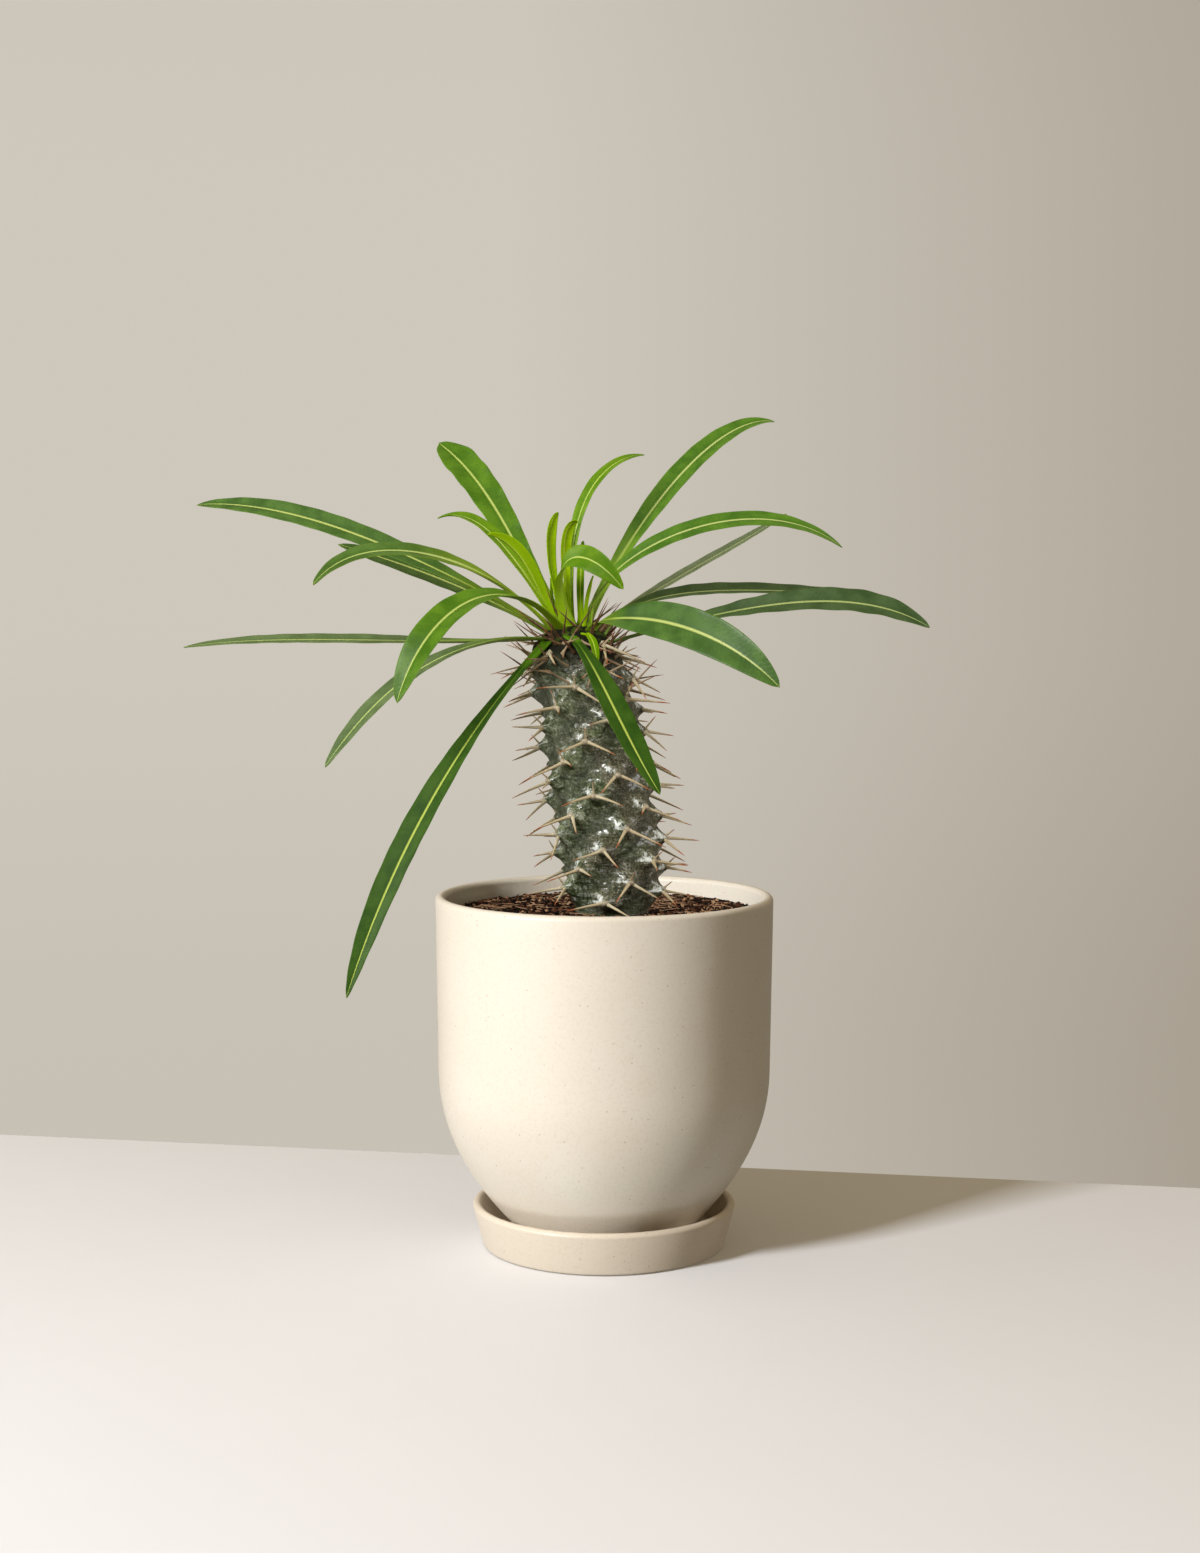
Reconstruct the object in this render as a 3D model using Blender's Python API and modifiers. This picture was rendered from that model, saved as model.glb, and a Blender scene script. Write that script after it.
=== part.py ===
"""A young Madagascar palm growing in a glazed planter that stands in its own saucer.

The planter's axis is the Z axis and Z = 0 is the underside of the saucer. The plant is seen in the
photograph from -Y, with +X to the right. Azimuths are degrees from +X towards +Y, seen from above.
Driving sizes are millimetres. They become metres in to_metres, where every mesh is made.
"""
import math
import random
from typing import NamedTuple

import bmesh
import bpy
from mathutils import Matrix, Vector, noise
from mathutils.bvhtree import BVHTree

MM = 0.001
GAP = 0.3            # clearance between two pieces that touch on the real plant
TURN_STEPS = 40      # facets round the planter, the saucer and the soil
SHARP_ANGLE = 40.0   # degrees between two faces above which their edge is shaded sharp
SEED = 11
UP = Vector((0.0, 0.0, 1.0))

# Saucer
SAUCER_RIM_RADIUS = 58.8
SAUCER_FOOT_RADIUS = 54.4
SAUCER_HEIGHT = 19.5
SAUCER_WALL = 4.0
SAUCER_FLOOR = 5.0
SAUCER_FILLET = 2.5  # rounding where the saucer's floor meets its wall
SAUCER_EDGE = 1.6    # rounding of the saucer's lower outer edge

# Planter: a straight wall that narrows a little, then curves in to a flat foot
POT_RIM_RADIUS = 75.0
POT_RIM_HEIGHT = 157.3
POT_WALL = 4.5
POT_WAIST = (73.9, 78.4)          # radius and height where the wall starts to curve in
POT_BELLY = ((73.5, 50.2), (58.3, 26.6))   # handles of that curve
POT_FOOT = (36.0, SAUCER_FLOOR + GAP)
POT_BASE = 6.0                    # thickness of the planter's floor
DRAIN_RADIUS = 6.0

# Soil
SOIL_LEVEL = 149.0
SOIL_UNEVEN = 0.7
SOIL_WAVES = 0.06                 # how fast the unevenness changes, for each millimetre
SOIL_RINGS = (68.0, 56.0, 44.0, 32.0, 14.0)
HOLE_CLEARANCE = 0.5              # between the stem's root and the soil all round it
HOLE_ENDS = (2.0, 6.0)            # how far its cutter goes below the root and above the soil

# Stem: height against sideways lean, and height against radius over the tubercles' tips
STEM_LEAN = ((149.0, 3.5), (178.0, 3.1), (199.0, -0.7), (241.0, -7.1), (257.0, -11.3), (265.0, -13.5))
STEM_RADIUS = ((149.0, 20.5), (160.0, 22.5), (178.0, 24.5), (199.0, 24.3), (241.0, 22.9), (262.0, 22.9))
ROOT_END = 114.0
ROOT_RADIUS = (9.0, 17.0)         # at the buried end and where the stem meets the soil
CROWN_TOP = 276.5
CROWN_FALL = 11.0                 # the crown's dome falls this much at CROWN_SPREAD from its centre
CROWN_SPREAD = 19.0
STEM_COLUMNS = 44
STEM_ROWS = 27
SHOULDER_RADIUS = 19.5            # the even rows end and the dome's rings begin here
DOME_RADII = (18.3, 16.5, 13.8, 10.2, 5.8)

# Tubercles: one spiral round the stem, each with its own spines
TUBERCLE_FIRST = (156.0, 262.0)   # height and azimuth of the lowest one
TUBERCLE_STEP = (1.81, -138.46)   # rise and turn from one to the next
TUBERCLE_LAST = 270.0
TUBERCLE_HEIGHT = 4.4
TUBERCLE_SPAN = (5.2, 5.6)        # half width and half height
RELIEF_FADES = (150.5, 155.0, 256.0, 265.0)   # no relief below the first height or above the last

# Spines: two long ones that spread from each tubercle, and a short one above them
SPINE_RADIUS = 0.8
SPINE_SUNK = 2.0
SPINE_CLEARANCE = 0.45            # to the leaves
SOIL_CLEARANCE = 1.6
LONG_SPINE = (15.5, 20.5)
LONG_SPREAD = (38.0, 60.0)        # degrees from straight out of the stem
LONG_FALL = (0.0, 38.0)           # degrees below the level
SHORT_SPINE = (6.0, 9.0)
SHORT_LEAN = (35.0, 60.0)         # degrees up from straight out of the stem
SHORT_SHARE = 0.6                 # share of the tubercles that have one

# Crown spines: pairs that stand round the feet of the leaves
CROWN_SPINE = (9.0, 13.0)
CROWN_PLACES = 22
CROWN_FIRST = 20.0                # azimuth of the first pair; the rest follow the tubercles' turn
CROWN_DISTANCES = (12.0, 14.5, 17.0, 19.0)   # from the crown's centre, in turn
CROWN_LEAN = (25.0, 60.0)         # degrees outward from upright
CROWN_SPLAY = 18.0                # degrees that each of a pair turns aside


class Leaf(NamedTuple):
    """One leaf: its foot on the crown, the curve of its rib seen from the side, and its blade."""

    foot: tuple       # azimuth and distance of the foot from the crown's centre
    heading: tuple    # azimuth in which it leaves, and how far its tip swings on
    rib: tuple        # outward reach and height over the foot: two handles and the tip
    blade: tuple      # width of the stalk, width of the blade, and share of the length where it is widest
    roll: float       # degrees by which the blade leans about its rib
    bow: float = 0.0  # how far the middle of the rib bends to the leaf's left


LEAVES = (
    # Lower whorl on the left
    Leaf((168, 12.0), (170, -6), ((48, 28), (112, 60), (169, 57)), (5.0, 13.0, 0.6), -32),
    Leaf((143, 14.0), (146, 6), ((36, 18), (74, 30), (113, 41)), (4.6, 12.5, 0.6), -20),
    Leaf((192, 11.0), (197, 8), ((29, 34), (84, 46), (108, 19)), (4.4, 11.0, 0.55), -18),
    Leaf((228, 10.0), (226, -4), ((33, 29), (77, 12), (88, -30)), (5.2, 15.0, 0.68), -24),
    Leaf((178, 16.0), (183, -6), ((57, -3), (112, 3), (158, -4)), (4.4, 11.0, 0.5), -14),
    Leaf((208, 16.0), (208, 4), ((43, 4), (77, -19), (104, -52)), (4.4, 11.0, 0.62), -8),
    Leaf((226, 17.5), (222, -6), ((48, -37), (83, -87), (100, -145)), (4.6, 14.5, 0.62), -16),
    # Upper whorl on the left
    Leaf((118, 8.0), (118, 6), ((41, 21), (67, 64), (112, 87)), (5.4, 16.5, 0.84), -30),
    Leaf((143, 10.0), (154, 4), ((18, 28), (38, 57), (58, 49)), (4.0, 9.5, 0.55), -9),
    Leaf((200, 8.0), (200, -6), ((10, 18), (15, 38), (31, 40)), (4.6, 9.0, 0.6), 50),
    # Young leaves in the middle
    Leaf((190, 5.2), (180, 0), ((6, 20), (9, 46), (2, 50)), (3.0, 6.0, 0.6), -50),
    Leaf((192, 2.4), (180, 0), ((2, 22), (6, 46), (-4, 46)), (3.2, 6.5, 0.6), -50),
    Leaf((85, 3.6), (10, 28), ((-3, 30), (-3, 74), (39, 76)), (4.0, 8.0, 0.5), 12),
    Leaf((248, 5.8), (300, 14), ((-6, 29), (20, 41), (34, 16)), (6.0, 11.5, 0.62), 60, -6),
    Leaf((40, 4.0), (80, 0), ((-2, 13), (-3, 26), (5, 37)), (2.6, 3.5, 0.5), 0),
    Leaf((170, 9.2), (180, 0), ((0, 7), (1, 14), (2, 22)), (1.8, 2.2, 0.4), 0),
    Leaf((330, 6.0), (340, 0), ((0, 8), (1, 15), (4, 22)), (2.0, 2.6, 0.4), 0),
    # Upper whorl on the right
    Leaf((48, 8.0), (42, -6), ((26, 46), (80, 99), (108, 95)), (5.0, 14.0, 0.52), 28),
    Leaf((8, 9.0), (6, 8), ((-9, 29), (68, 68), (115, 36)), (4.6, 10.8, 0.6), 30),
    # Lower whorl on the right
    Leaf((54, 14.0), (50, -6), ((42, 21), (88, 34), (130, 57)), (4.2, 9.0, 0.55), -8),
    Leaf((26, 14.5), (26, -6), ((15, 25), (68, 20), (126, 19)), (4.6, 13.0, 0.6), 23),
    Leaf((346, 17.0), (348, 6), ((49, 14), (103, 29), (138, 7)), (5.0, 15.0, 0.68), 42),
    Leaf((318, 11.0), (318, 8), ((4, 8), (62, 11), (94, -23)), (5.0, 18.5, 0.62), 62),
    # Leaves that hang in front
    Leaf((266, 15.5), (303, 8), ((18, -7), (40, -40), (57, -64)), (4.6, 13.0, 0.58), 10),
    Leaf((292, 14.0), (300, 0), ((4, 0), (8, -4), (9, -12)), (2.6, 4.2, 0.5), 0),
    # Leaves behind the stem, which the photograph doesn't show
    Leaf((92, 14.0), (92, 0), ((35, 12), (80, -2), (112, -45)), (4.6, 13.0, 0.6), 0),
    Leaf((112, 17.0), (85, 0), ((25, 4), (55, -30), (70, -75)), (4.6, 13.0, 0.6), 0),
    Leaf((70, 17.0), (78, 0), ((30, 6), (60, -25), (82, -62)), (4.6, 13.0, 0.6), 0),
)
LEAF_STATIONS = (0.0, 0.04, 0.12, 0.24, 0.36, 0.48, 0.6, 0.72, 0.83, 0.93, 1.0)
LEAF_TIP = 0.9                    # width left at the very tip
TIP_POWERS = (2.6, 0.8)           # how late the blade narrows, and how blunt its tip is
BLADE_THICKNESS = 0.72
RIB_THICKNESS = 1.2
STALK_THICKNESS = 1.7
STALK_SHARE = 0.3                 # share of the leaf over which the stalk turns into the blade
RIB_FADES = 0.7                   # share of the leaf where the rib starts to fade
FOOT_SHARE = 0.12                 # share of the leaf that may rest along the crown
FOOT_STEEPNESS = 0.35             # least climb of a stalk out of the crown when its foot is cut
GUTTER = 16.0                     # degrees by which each half of the blade rises from the rib
ROLL_GROWS = 0.45                 # share of the leaf over which the roll grows


# Numbers and curves

def smoothstep(low, high, value):
    """Return 0 below low and 1 above high, with a soft rise between."""
    share = min(max((value - low) / (high - low), 0.0), 1.0)
    return share * share * (3.0 - 2.0 * share)


def between(table, height):
    """Return a value read from pairs of height and value, straight between them."""
    if height <= table[0][0]:
        return table[0][1]
    for (low, start), (high, end) in zip(table, table[1:]):
        if height <= high:
            share = (height - low) / (high - low)
            return start + (end - start) * share
    return table[-1][1]


def bezier(points, share):
    """Return the point of a cubic Bezier curve in the plane."""
    rest = 1.0 - share
    weights = (rest ** 3, 3 * share * rest ** 2, 3 * share ** 2 * rest, share ** 3)
    return tuple(sum(w * point[axis] for w, point in zip(weights, points)) for axis in (0, 1))


def arc(centre, radius, start, end, steps):
    """Return the points of an arc in the plane, from start to end in degrees."""
    angles = [math.radians(start + (end - start) * step / steps) for step in range(steps + 1)]
    return [(centre[0] + radius * math.cos(a), centre[1] + radius * math.sin(a)) for a in angles]


def inset(outline, distance):
    """Return an outline moved inwards, to the right of the way it runs down the outer side."""
    moved = []
    for index, (radius, height) in enumerate(outline):
        before = outline[max(index - 1, 0)]
        after = outline[min(index + 1, len(outline) - 1)]
        run, fall = after[0] - before[0], after[1] - before[1]
        length = math.hypot(run, fall)
        moved.append((radius + fall / length * distance, height - run / length * distance))
    return moved


# Objects

def to_metres(points):
    """Return points in millimetres as vectors in metres."""
    return [Vector(point) * MM for point in points]


def material(name, colour, roughness, coat=0.0):
    """Return a plain Principled material."""
    made = bpy.data.materials.new(name)
    made.use_nodes = True
    shader = made.node_tree.nodes["Principled BSDF"]
    shader.inputs["Base Color"].default_value = (*colour, 1.0)
    shader.inputs["Roughness"].default_value = roughness
    shader.inputs["Metallic"].default_value = 0.0
    shader.inputs["Coat Weight"].default_value = coat
    made.diffuse_color = (*colour, 1.0)
    return made


def add_object(name, mesh, collection, surface=None):
    """Put a mesh into the scene as one smooth-shaded object."""
    made = bpy.data.objects.new(name, mesh)
    collection.objects.link(made)
    if surface:
        mesh.materials.append(surface)
    mesh.shade_smooth()
    mesh.set_sharp_from_angle(angle=math.radians(SHARP_ANGLE))
    return made


def turned(name, outline, closed, collection, surface):
    """Turn an outline of radii and heights round the Z axis with a Screw modifier."""
    points = to_metres((radius, 0.0, height) for radius, height in outline)
    edges = [(index, index + 1) for index in range(len(points) - 1)]
    if closed:
        edges.append((len(points) - 1, 0))
    mesh = bpy.data.meshes.new(name)
    mesh.from_pydata(points, edges, [])
    made = add_object(name, mesh, collection, surface)
    screw = made.modifiers.new("turn", "SCREW")
    screw.steps = screw.render_steps = TURN_STEPS
    screw.use_merge_vertices = True
    screw.merge_threshold = 0.00001
    screw.use_smooth_shade = True
    return made


def bake_modifiers(made):
    """Replace an object's mesh by its evaluated one."""
    bpy.context.view_layer.update()
    evaluated = made.evaluated_get(bpy.context.evaluated_depsgraph_get())
    mesh = bpy.data.meshes.new_from_object(evaluated)
    made.modifiers.clear()
    made.data = mesh


# Saucer, planter and soil

def saucer_outline():
    """From the middle of the floor, up the inner wall, over the rim and down to the underside."""
    half = SAUCER_WALL / 2.0
    rim = arc((SAUCER_RIM_RADIUS - half, SAUCER_HEIGHT - half), half, 180, 0, 4)
    inner_foot = SAUCER_FOOT_RADIUS - SAUCER_WALL
    floor = arc((inner_foot - SAUCER_FILLET, SAUCER_FLOOR + SAUCER_FILLET), SAUCER_FILLET, 270, 345, 2)
    edge = arc((SAUCER_FOOT_RADIUS - SAUCER_EDGE, SAUCER_EDGE), SAUCER_EDGE, 0, -90, 2)
    return [(0.0, SAUCER_FLOOR), *floor, *rim, *edge, (0.0, 0.0)]


def pot_wall():
    """The planter's outer wall, from below the rim to the foot."""
    belly = (POT_WAIST, *POT_BELLY, POT_FOOT)
    top = (POT_RIM_RADIUS, POT_RIM_HEIGHT - POT_WALL / 2.0)
    return [top, *(bezier(belly, step / 6.0) for step in range(7))]


def pot_hollow(clearance=0.0):
    """The hollow's side from its top down to its floor, moved in further by a clearance."""
    floor = POT_FOOT[1] + POT_BASE + clearance
    side = inset(pot_wall(), POT_WALL + clearance)
    high = [point for point in side if point[1] > floor]
    low = side[len(high)]
    share = (high[-1][1] - floor) / (high[-1][1] - low[1])
    corner = (high[-1][0] + (low[0] - high[-1][0]) * share, floor)
    return [*high, corner]


def pot_outline():
    """Over the rim, down the wall, under the foot, up the drain hole and up the hollow."""
    half = POT_WALL / 2.0
    rim = arc((POT_RIM_RADIUS - half, POT_RIM_HEIGHT - half), half, 150, 30, 4)
    floor = POT_FOOT[1] + POT_BASE
    drain = [(DRAIN_RADIUS, POT_FOOT[1]), (DRAIN_RADIUS, floor)]
    return [*rim, *pot_wall(), *drain, *reversed(pot_hollow())]


def soil_outline():
    """From the middle of the soil's surface to its edge, and down the hollow to its floor."""
    side = pot_hollow(GAP)
    top, waist = side[0], side[1]
    share = (top[1] - SOIL_LEVEL) / (top[1] - waist[1])
    edge = (top[0] + (waist[0] - top[0]) * share, SOIL_LEVEL)
    rings = [(radius, SOIL_LEVEL) for radius in reversed(SOIL_RINGS)]
    return [(0.0, SOIL_LEVEL), *rings, edge, *side[1:], (0.0, side[-1][1])]


def build_soil(collection, cutters):
    """Soil that fills the planter, slightly uneven on top, with a plain hole for the stem."""
    surface = material("soil", (0.045, 0.022, 0.012), 0.95)
    soil = turned("soil", soil_outline(), False, collection, surface)
    bake_modifiers(soil)
    for vertex in soil.data.vertices:
        place = vertex.co / MM
        if abs(place.z - SOIL_LEVEL) < 0.01 and math.hypot(place.x, place.y) < SOIL_RINGS[0] + 1:
            vertex.co.z += MM * SOIL_UNEVEN * noise.noise(place * SOIL_WAVES)
    hole = bpy.data.meshes.new("stem_hole")
    shape = bmesh.new()
    low, high = ROOT_END - HOLE_ENDS[0], SOIL_LEVEL + HOLE_ENDS[1]
    bmesh.ops.create_cone(
        shape, cap_ends=True, segments=STEM_COLUMNS, radius1=(root_radius(low) + HOLE_CLEARANCE) * MM,
        radius2=(root_radius(high) + HOLE_CLEARANCE) * MM, depth=(high - low) * MM,
        matrix=Matrix.Translation((between(STEM_LEAN, SOIL_LEVEL) * MM, 0.0, (low + high) / 2 * MM)))
    shape.to_mesh(hole)
    shape.free()
    cutter = bpy.data.objects.new("stem_hole", hole)
    cutters.objects.link(cutter)
    cutter.hide_render = True
    cutter.display_type = "WIRE"
    cut = soil.modifiers.new("stem_hole", "BOOLEAN")
    cut.operation = "DIFFERENCE"
    cut.object = cutter
    return soil


# Stem

def root_radius(height):
    """Radius of the plain taper by which the stem is set in the soil."""
    share = (height - ROOT_END) / (SOIL_LEVEL - ROOT_END)
    return ROOT_RADIUS[0] + (ROOT_RADIUS[1] - ROOT_RADIUS[0]) * share


def crown_height(distance):
    """Height of the crown's dome at a distance from its centre."""
    return CROWN_TOP - CROWN_FALL * (distance / CROWN_SPREAD) ** 3


def crown_radius(height):
    """Radius of the crown's dome at a height."""
    return CROWN_SPREAD * (max(CROWN_TOP - height, 0.0) / CROWN_FALL) ** (1.0 / 3.0)


def tubercles():
    """Height and azimuth of each tubercle, from the soil up."""
    height, azimuth = TUBERCLE_FIRST
    places = []
    while height < TUBERCLE_LAST:
        places.append((height, math.radians(azimuth)))
        height += TUBERCLE_STEP[0]
        azimuth += TUBERCLE_STEP[1]
    return places


def relief(height, azimuth, radius, places):
    """How far the tubercles raise the stem's surface at one place."""
    raised = 0.0
    for other, direction in places:
        aside = math.remainder(direction - azimuth, math.tau) * radius
        away = (aside / TUBERCLE_SPAN[0]) ** 2 + ((height - other) / TUBERCLE_SPAN[1]) ** 2
        raised += TUBERCLE_HEIGHT * math.exp(-away)
    low, lifted, fading, high = RELIEF_FADES
    return raised * smoothstep(low, lifted, height) * (1.0 - smoothstep(fading, high, height))


def stem_surface(height, azimuth, places):
    """Point of the stem's surface, above or below the soil."""
    if height < RELIEF_FADES[0]:
        radius = root_radius(min(height, SOIL_LEVEL + 1.0))
    else:
        valley = between(STEM_RADIUS, height) - TUBERCLE_HEIGHT
        radius = min(valley, crown_radius(height)) + relief(height, azimuth, valley, places)
    centre = between(STEM_LEAN, height)
    return Vector((centre + radius * math.cos(azimuth), radius * math.sin(azimuth), height))


def build_stem_body(collection, surface):
    """The leaning stem with its tubercles, from the buried end to the crown."""
    places = tubercles()
    bottom, top = RELIEF_FADES[0], crown_height(SHOULDER_RADIUS)
    heights = [ROOT_END, SOIL_LEVEL - 0.5]
    heights += [bottom + (top - bottom) * row / STEM_ROWS for row in range(STEM_ROWS + 1)]
    heights += [crown_height(radius) for radius in DOME_RADII]
    angles = [math.tau * column / STEM_COLUMNS for column in range(STEM_COLUMNS)]
    points = [stem_surface(height, angle, places) for height in heights for angle in angles]
    faces = []
    for row in range(len(heights) - 1):
        for column in range(STEM_COLUMNS):
            beside = (column + 1) % STEM_COLUMNS
            low, high = row * STEM_COLUMNS, (row + 1) * STEM_COLUMNS
            faces.append((low + column, low + beside, high + beside, high + column))
    faces.append(tuple(reversed(range(STEM_COLUMNS))))
    points.append(Vector((between(STEM_LEAN, CROWN_TOP), 0.0, CROWN_TOP)))
    last = (len(heights) - 1) * STEM_COLUMNS
    for column in range(STEM_COLUMNS):
        faces.append((last + column, last + (column + 1) % STEM_COLUMNS, len(points) - 1))
    mesh = bpy.data.meshes.new("stem")
    mesh.from_pydata(to_metres(points), [], faces)
    return add_object("stem", mesh, collection, surface)


class SpinePlanter:
    """Places spines on the stem, each turned until it clears the leaves and the soil."""

    TURNS = (0, 14, -14, 28, -28, 42, -42, 60, -60)

    def __init__(self, leaves, collection):
        self.collection = collection
        self.trees = [self.tree_of(leaf) for leaf in leaves]

    @staticmethod
    def tree_of(leaf):
        """Return a search tree over one leaf's faces."""
        corners = [vertex.co for vertex in leaf.data.vertices]
        return BVHTree.FromPolygons(corners, [tuple(face.vertices) for face in leaf.data.polygons])

    def is_clear(self, root, direction, length):
        """Tell whether a spine keeps its distance from every leaf and from the soil."""
        steps = int(length)
        for step in range(steps + 1):
            share = step / steps
            place = root + direction * length * share
            if place.z < SOIL_LEVEL + SOIL_CLEARANCE:
                return False
            reach = (SPINE_RADIUS * (1.0 - share) + SPINE_CLEARANCE) * MM
            if any(tree.find_nearest(place * MM, reach)[0] for tree in self.trees):
                return False
        return True

    def plant(self, root, outward, direction, length):
        """Add a spine in the first clear direction near the wanted one, and tell whether one fits."""
        for shrink in (1.0, 0.75, 0.5):
            for turn in self.TURNS:
                turned_to = Matrix.Rotation(math.radians(turn), 3, outward) @ direction
                if self.is_clear(root, turned_to, length * shrink):
                    self.add(root, turned_to, length * shrink)
                    return True
        return False

    def add(self, root, direction, length):
        """Add one three-sided spine whose root is sunk into the stem."""
        start = root - direction * SPINE_SUNK
        whole = length + SPINE_SUNK
        middle = start + direction * whole / 2.0
        turn = direction.to_track_quat("Z", "Y").to_matrix().to_4x4()
        shape = bmesh.new()
        bmesh.ops.create_cone(shape, cap_ends=True, segments=3, radius1=SPINE_RADIUS * MM, radius2=0.0,
                              depth=whole * MM, matrix=Matrix.Translation(middle * MM) @ turn)
        mesh = bpy.data.meshes.new("spine")
        shape.to_mesh(mesh)
        shape.free()
        self.collection.objects.link(bpy.data.objects.new("spine", mesh))


def plant_tubercle_spines(planter, draw):
    """Two long spreading spines and a short upright one on each tubercle."""
    places = tubercles()
    for height, azimuth in places:
        outward = Vector((math.cos(azimuth), math.sin(azimuth), 0.0))
        aside = UP.cross(outward)
        root = stem_surface(height, azimuth, places)
        for side in (-1.0, 1.0):
            spread = math.radians(draw.uniform(*LONG_SPREAD))
            fall = math.radians(draw.uniform(*LONG_FALL))
            along = aside * side * math.cos(fall) - UP * math.sin(fall)
            direction = outward * math.cos(spread) + along * math.sin(spread)
            planter.plant(root, outward, direction, draw.uniform(*LONG_SPINE))
        lean = math.radians(draw.uniform(*SHORT_LEAN))
        tip = outward * math.cos(lean) + UP * math.sin(lean)
        length = draw.uniform(*SHORT_SPINE)
        if draw.random() < SHORT_SHARE:
            planter.plant(root, outward, tip, length)


def plant_crown_spines(planter, draw):
    """Pairs of upright spines between the feet of the leaves."""
    centre = Vector((between(STEM_LEAN, CROWN_TOP), 0.0, 0.0))
    for number in range(CROWN_PLACES):
        azimuth = math.radians(CROWN_FIRST + number * TUBERCLE_STEP[1])
        distance = CROWN_DISTANCES[number % len(CROWN_DISTANCES)]
        outward = Vector((math.cos(azimuth), math.sin(azimuth), 0.0))
        root = centre + outward * distance + UP * crown_height(distance)
        for side in (-1.0, 1.0):
            lean = math.radians(draw.uniform(*CROWN_LEAN))
            direction = UP * math.cos(lean) + outward * math.sin(lean)
            direction = Matrix.Rotation(math.radians(CROWN_SPLAY * side), 3, outward) @ direction
            planter.plant(root, outward, direction, draw.uniform(*CROWN_SPINE))


def build_stem(collection, leaves):
    """The stem and its spines, joined into one body."""
    stem = build_stem_body(collection, material("stem", (0.16, 0.17, 0.13), 0.55))
    spines = bpy.data.collections.new("spines")
    bpy.context.scene.collection.children.link(spines)
    draw = random.Random(SEED)
    planter = SpinePlanter(leaves, spines)
    plant_tubercle_spines(planter, draw)
    plant_crown_spines(planter, draw)
    join = stem.modifiers.new("spines", "BOOLEAN")
    join.operation = "UNION"
    join.operand_type = "COLLECTION"
    join.collection = spines
    bake_modifiers(stem)
    for spine in list(spines.objects):
        bpy.data.objects.remove(spine)
    bpy.data.collections.remove(spines)
    return stem


# Leaves

def leaf_point(leaf, share):
    """Point of the leaf's rib at a share of its length."""
    foot_azimuth, foot_distance = leaf.foot
    reach, rise = bezier(((0, 0), *leaf.rib), share)
    azimuth = math.radians(leaf.heading[0] + leaf.heading[1] * share * share)
    foot = math.radians(foot_azimuth)
    ahead = Vector((math.cos(azimuth), math.sin(azimuth), 0.0))
    aside = Vector((-ahead.y, ahead.x, 0.0))
    start = Vector((
        between(STEM_LEAN, CROWN_TOP) + foot_distance * math.cos(foot),
        foot_distance * math.sin(foot), crown_height(foot_distance)))
    bend = leaf.bow * math.sin(math.pi * share)
    return start + ahead * reach + aside * bend + UP * rise


def leaf_axes(leaf, share):
    """Directions along the rib, to the leaf's left and out of its upper face."""
    step = 0.004
    before, after = leaf_point(leaf, max(share - step, 0.0)), leaf_point(leaf, min(share + step, 1.0))
    along = (after - before).normalized()
    azimuth = math.radians(leaf.heading[0] + leaf.heading[1] * share * share)
    left = Vector((-math.sin(azimuth), math.cos(azimuth), 0.0))
    left = (left - along * left.dot(along)).normalized()
    roll = Matrix.Rotation(math.radians(leaf.roll * smoothstep(0.0, ROLL_GROWS, share)), 3, along)
    left = roll @ left
    return along, left, along.cross(left)


def leaf_width(leaf, share):
    """Width of the leaf: a narrow stalk, a long blade and a short point."""
    stalk, width, widest = leaf.blade
    if share < widest:
        return stalk + (width - stalk) * smoothstep(0.0, widest, share)
    point = (share - widest) / (1.0 - widest)
    late, blunt = TIP_POWERS
    return LEAF_TIP + (width - LEAF_TIP) * (1.0 - point ** late) ** blunt


def crown_normal(leaf):
    """Direction out of the crown's dome at the leaf's foot."""
    azimuth, distance = math.radians(leaf.foot[0]), leaf.foot[1]
    slope = 3.0 * CROWN_FALL * distance ** 2 / CROWN_SPREAD ** 3
    return Vector((slope * math.cos(azimuth), slope * math.sin(azimuth), 1.0)).normalized()


def leaf_ring(leaf, share):
    """Six points round the leaf: the upper face from left to right, then the lower face back."""
    centre = leaf_point(leaf, share)
    along, left, above = leaf_axes(leaf, share)
    half = leaf_width(leaf, share) / 2.0
    spread = smoothstep(0.0, STALK_SHARE, share)
    rib = STALK_THICKNESS + (RIB_THICKNESS - STALK_THICKNESS) * spread
    rib = BLADE_THICKNESS + (rib - BLADE_THICKNESS) * (1.0 - smoothstep(RIB_FADES, 1.0, share))
    lift = half * math.sin(math.radians(GUTTER)) * spread
    flat = half * math.cos(math.radians(GUTTER) * spread)
    lower = [centre + left * flat + above * lift, centre, centre - left * flat + above * lift]
    if share <= FOOT_SHARE:
        lower = lift_off_crown(leaf, lower)
    depths = (BLADE_THICKNESS, rib, BLADE_THICKNESS)
    upper = [point + above * depth for point, depth in zip(lower, depths)]
    if share == 0.0:
        upper = cut_at_crown(leaf, upper, along)
    return upper + lower[::-1]


def lift_off_crown(leaf, points):
    """Raise what would dip into the crown's dome, so that it lies just clear of it."""
    out, foot = crown_normal(leaf), leaf_point(leaf, 0.0)
    return [point + out * max(GAP - (point - foot).dot(out), 0.0) for point in points]


def cut_at_crown(leaf, points, along):
    """Slide points of the leaf's foot back along its rib, until they lie just clear of the dome."""
    out, foot = crown_normal(leaf), leaf_point(leaf, 0.0)
    steep = max(along.dot(out), FOOT_STEEPNESS)
    return [point - along * (((point - foot).dot(out) - GAP) / steep) for point in points]


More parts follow.
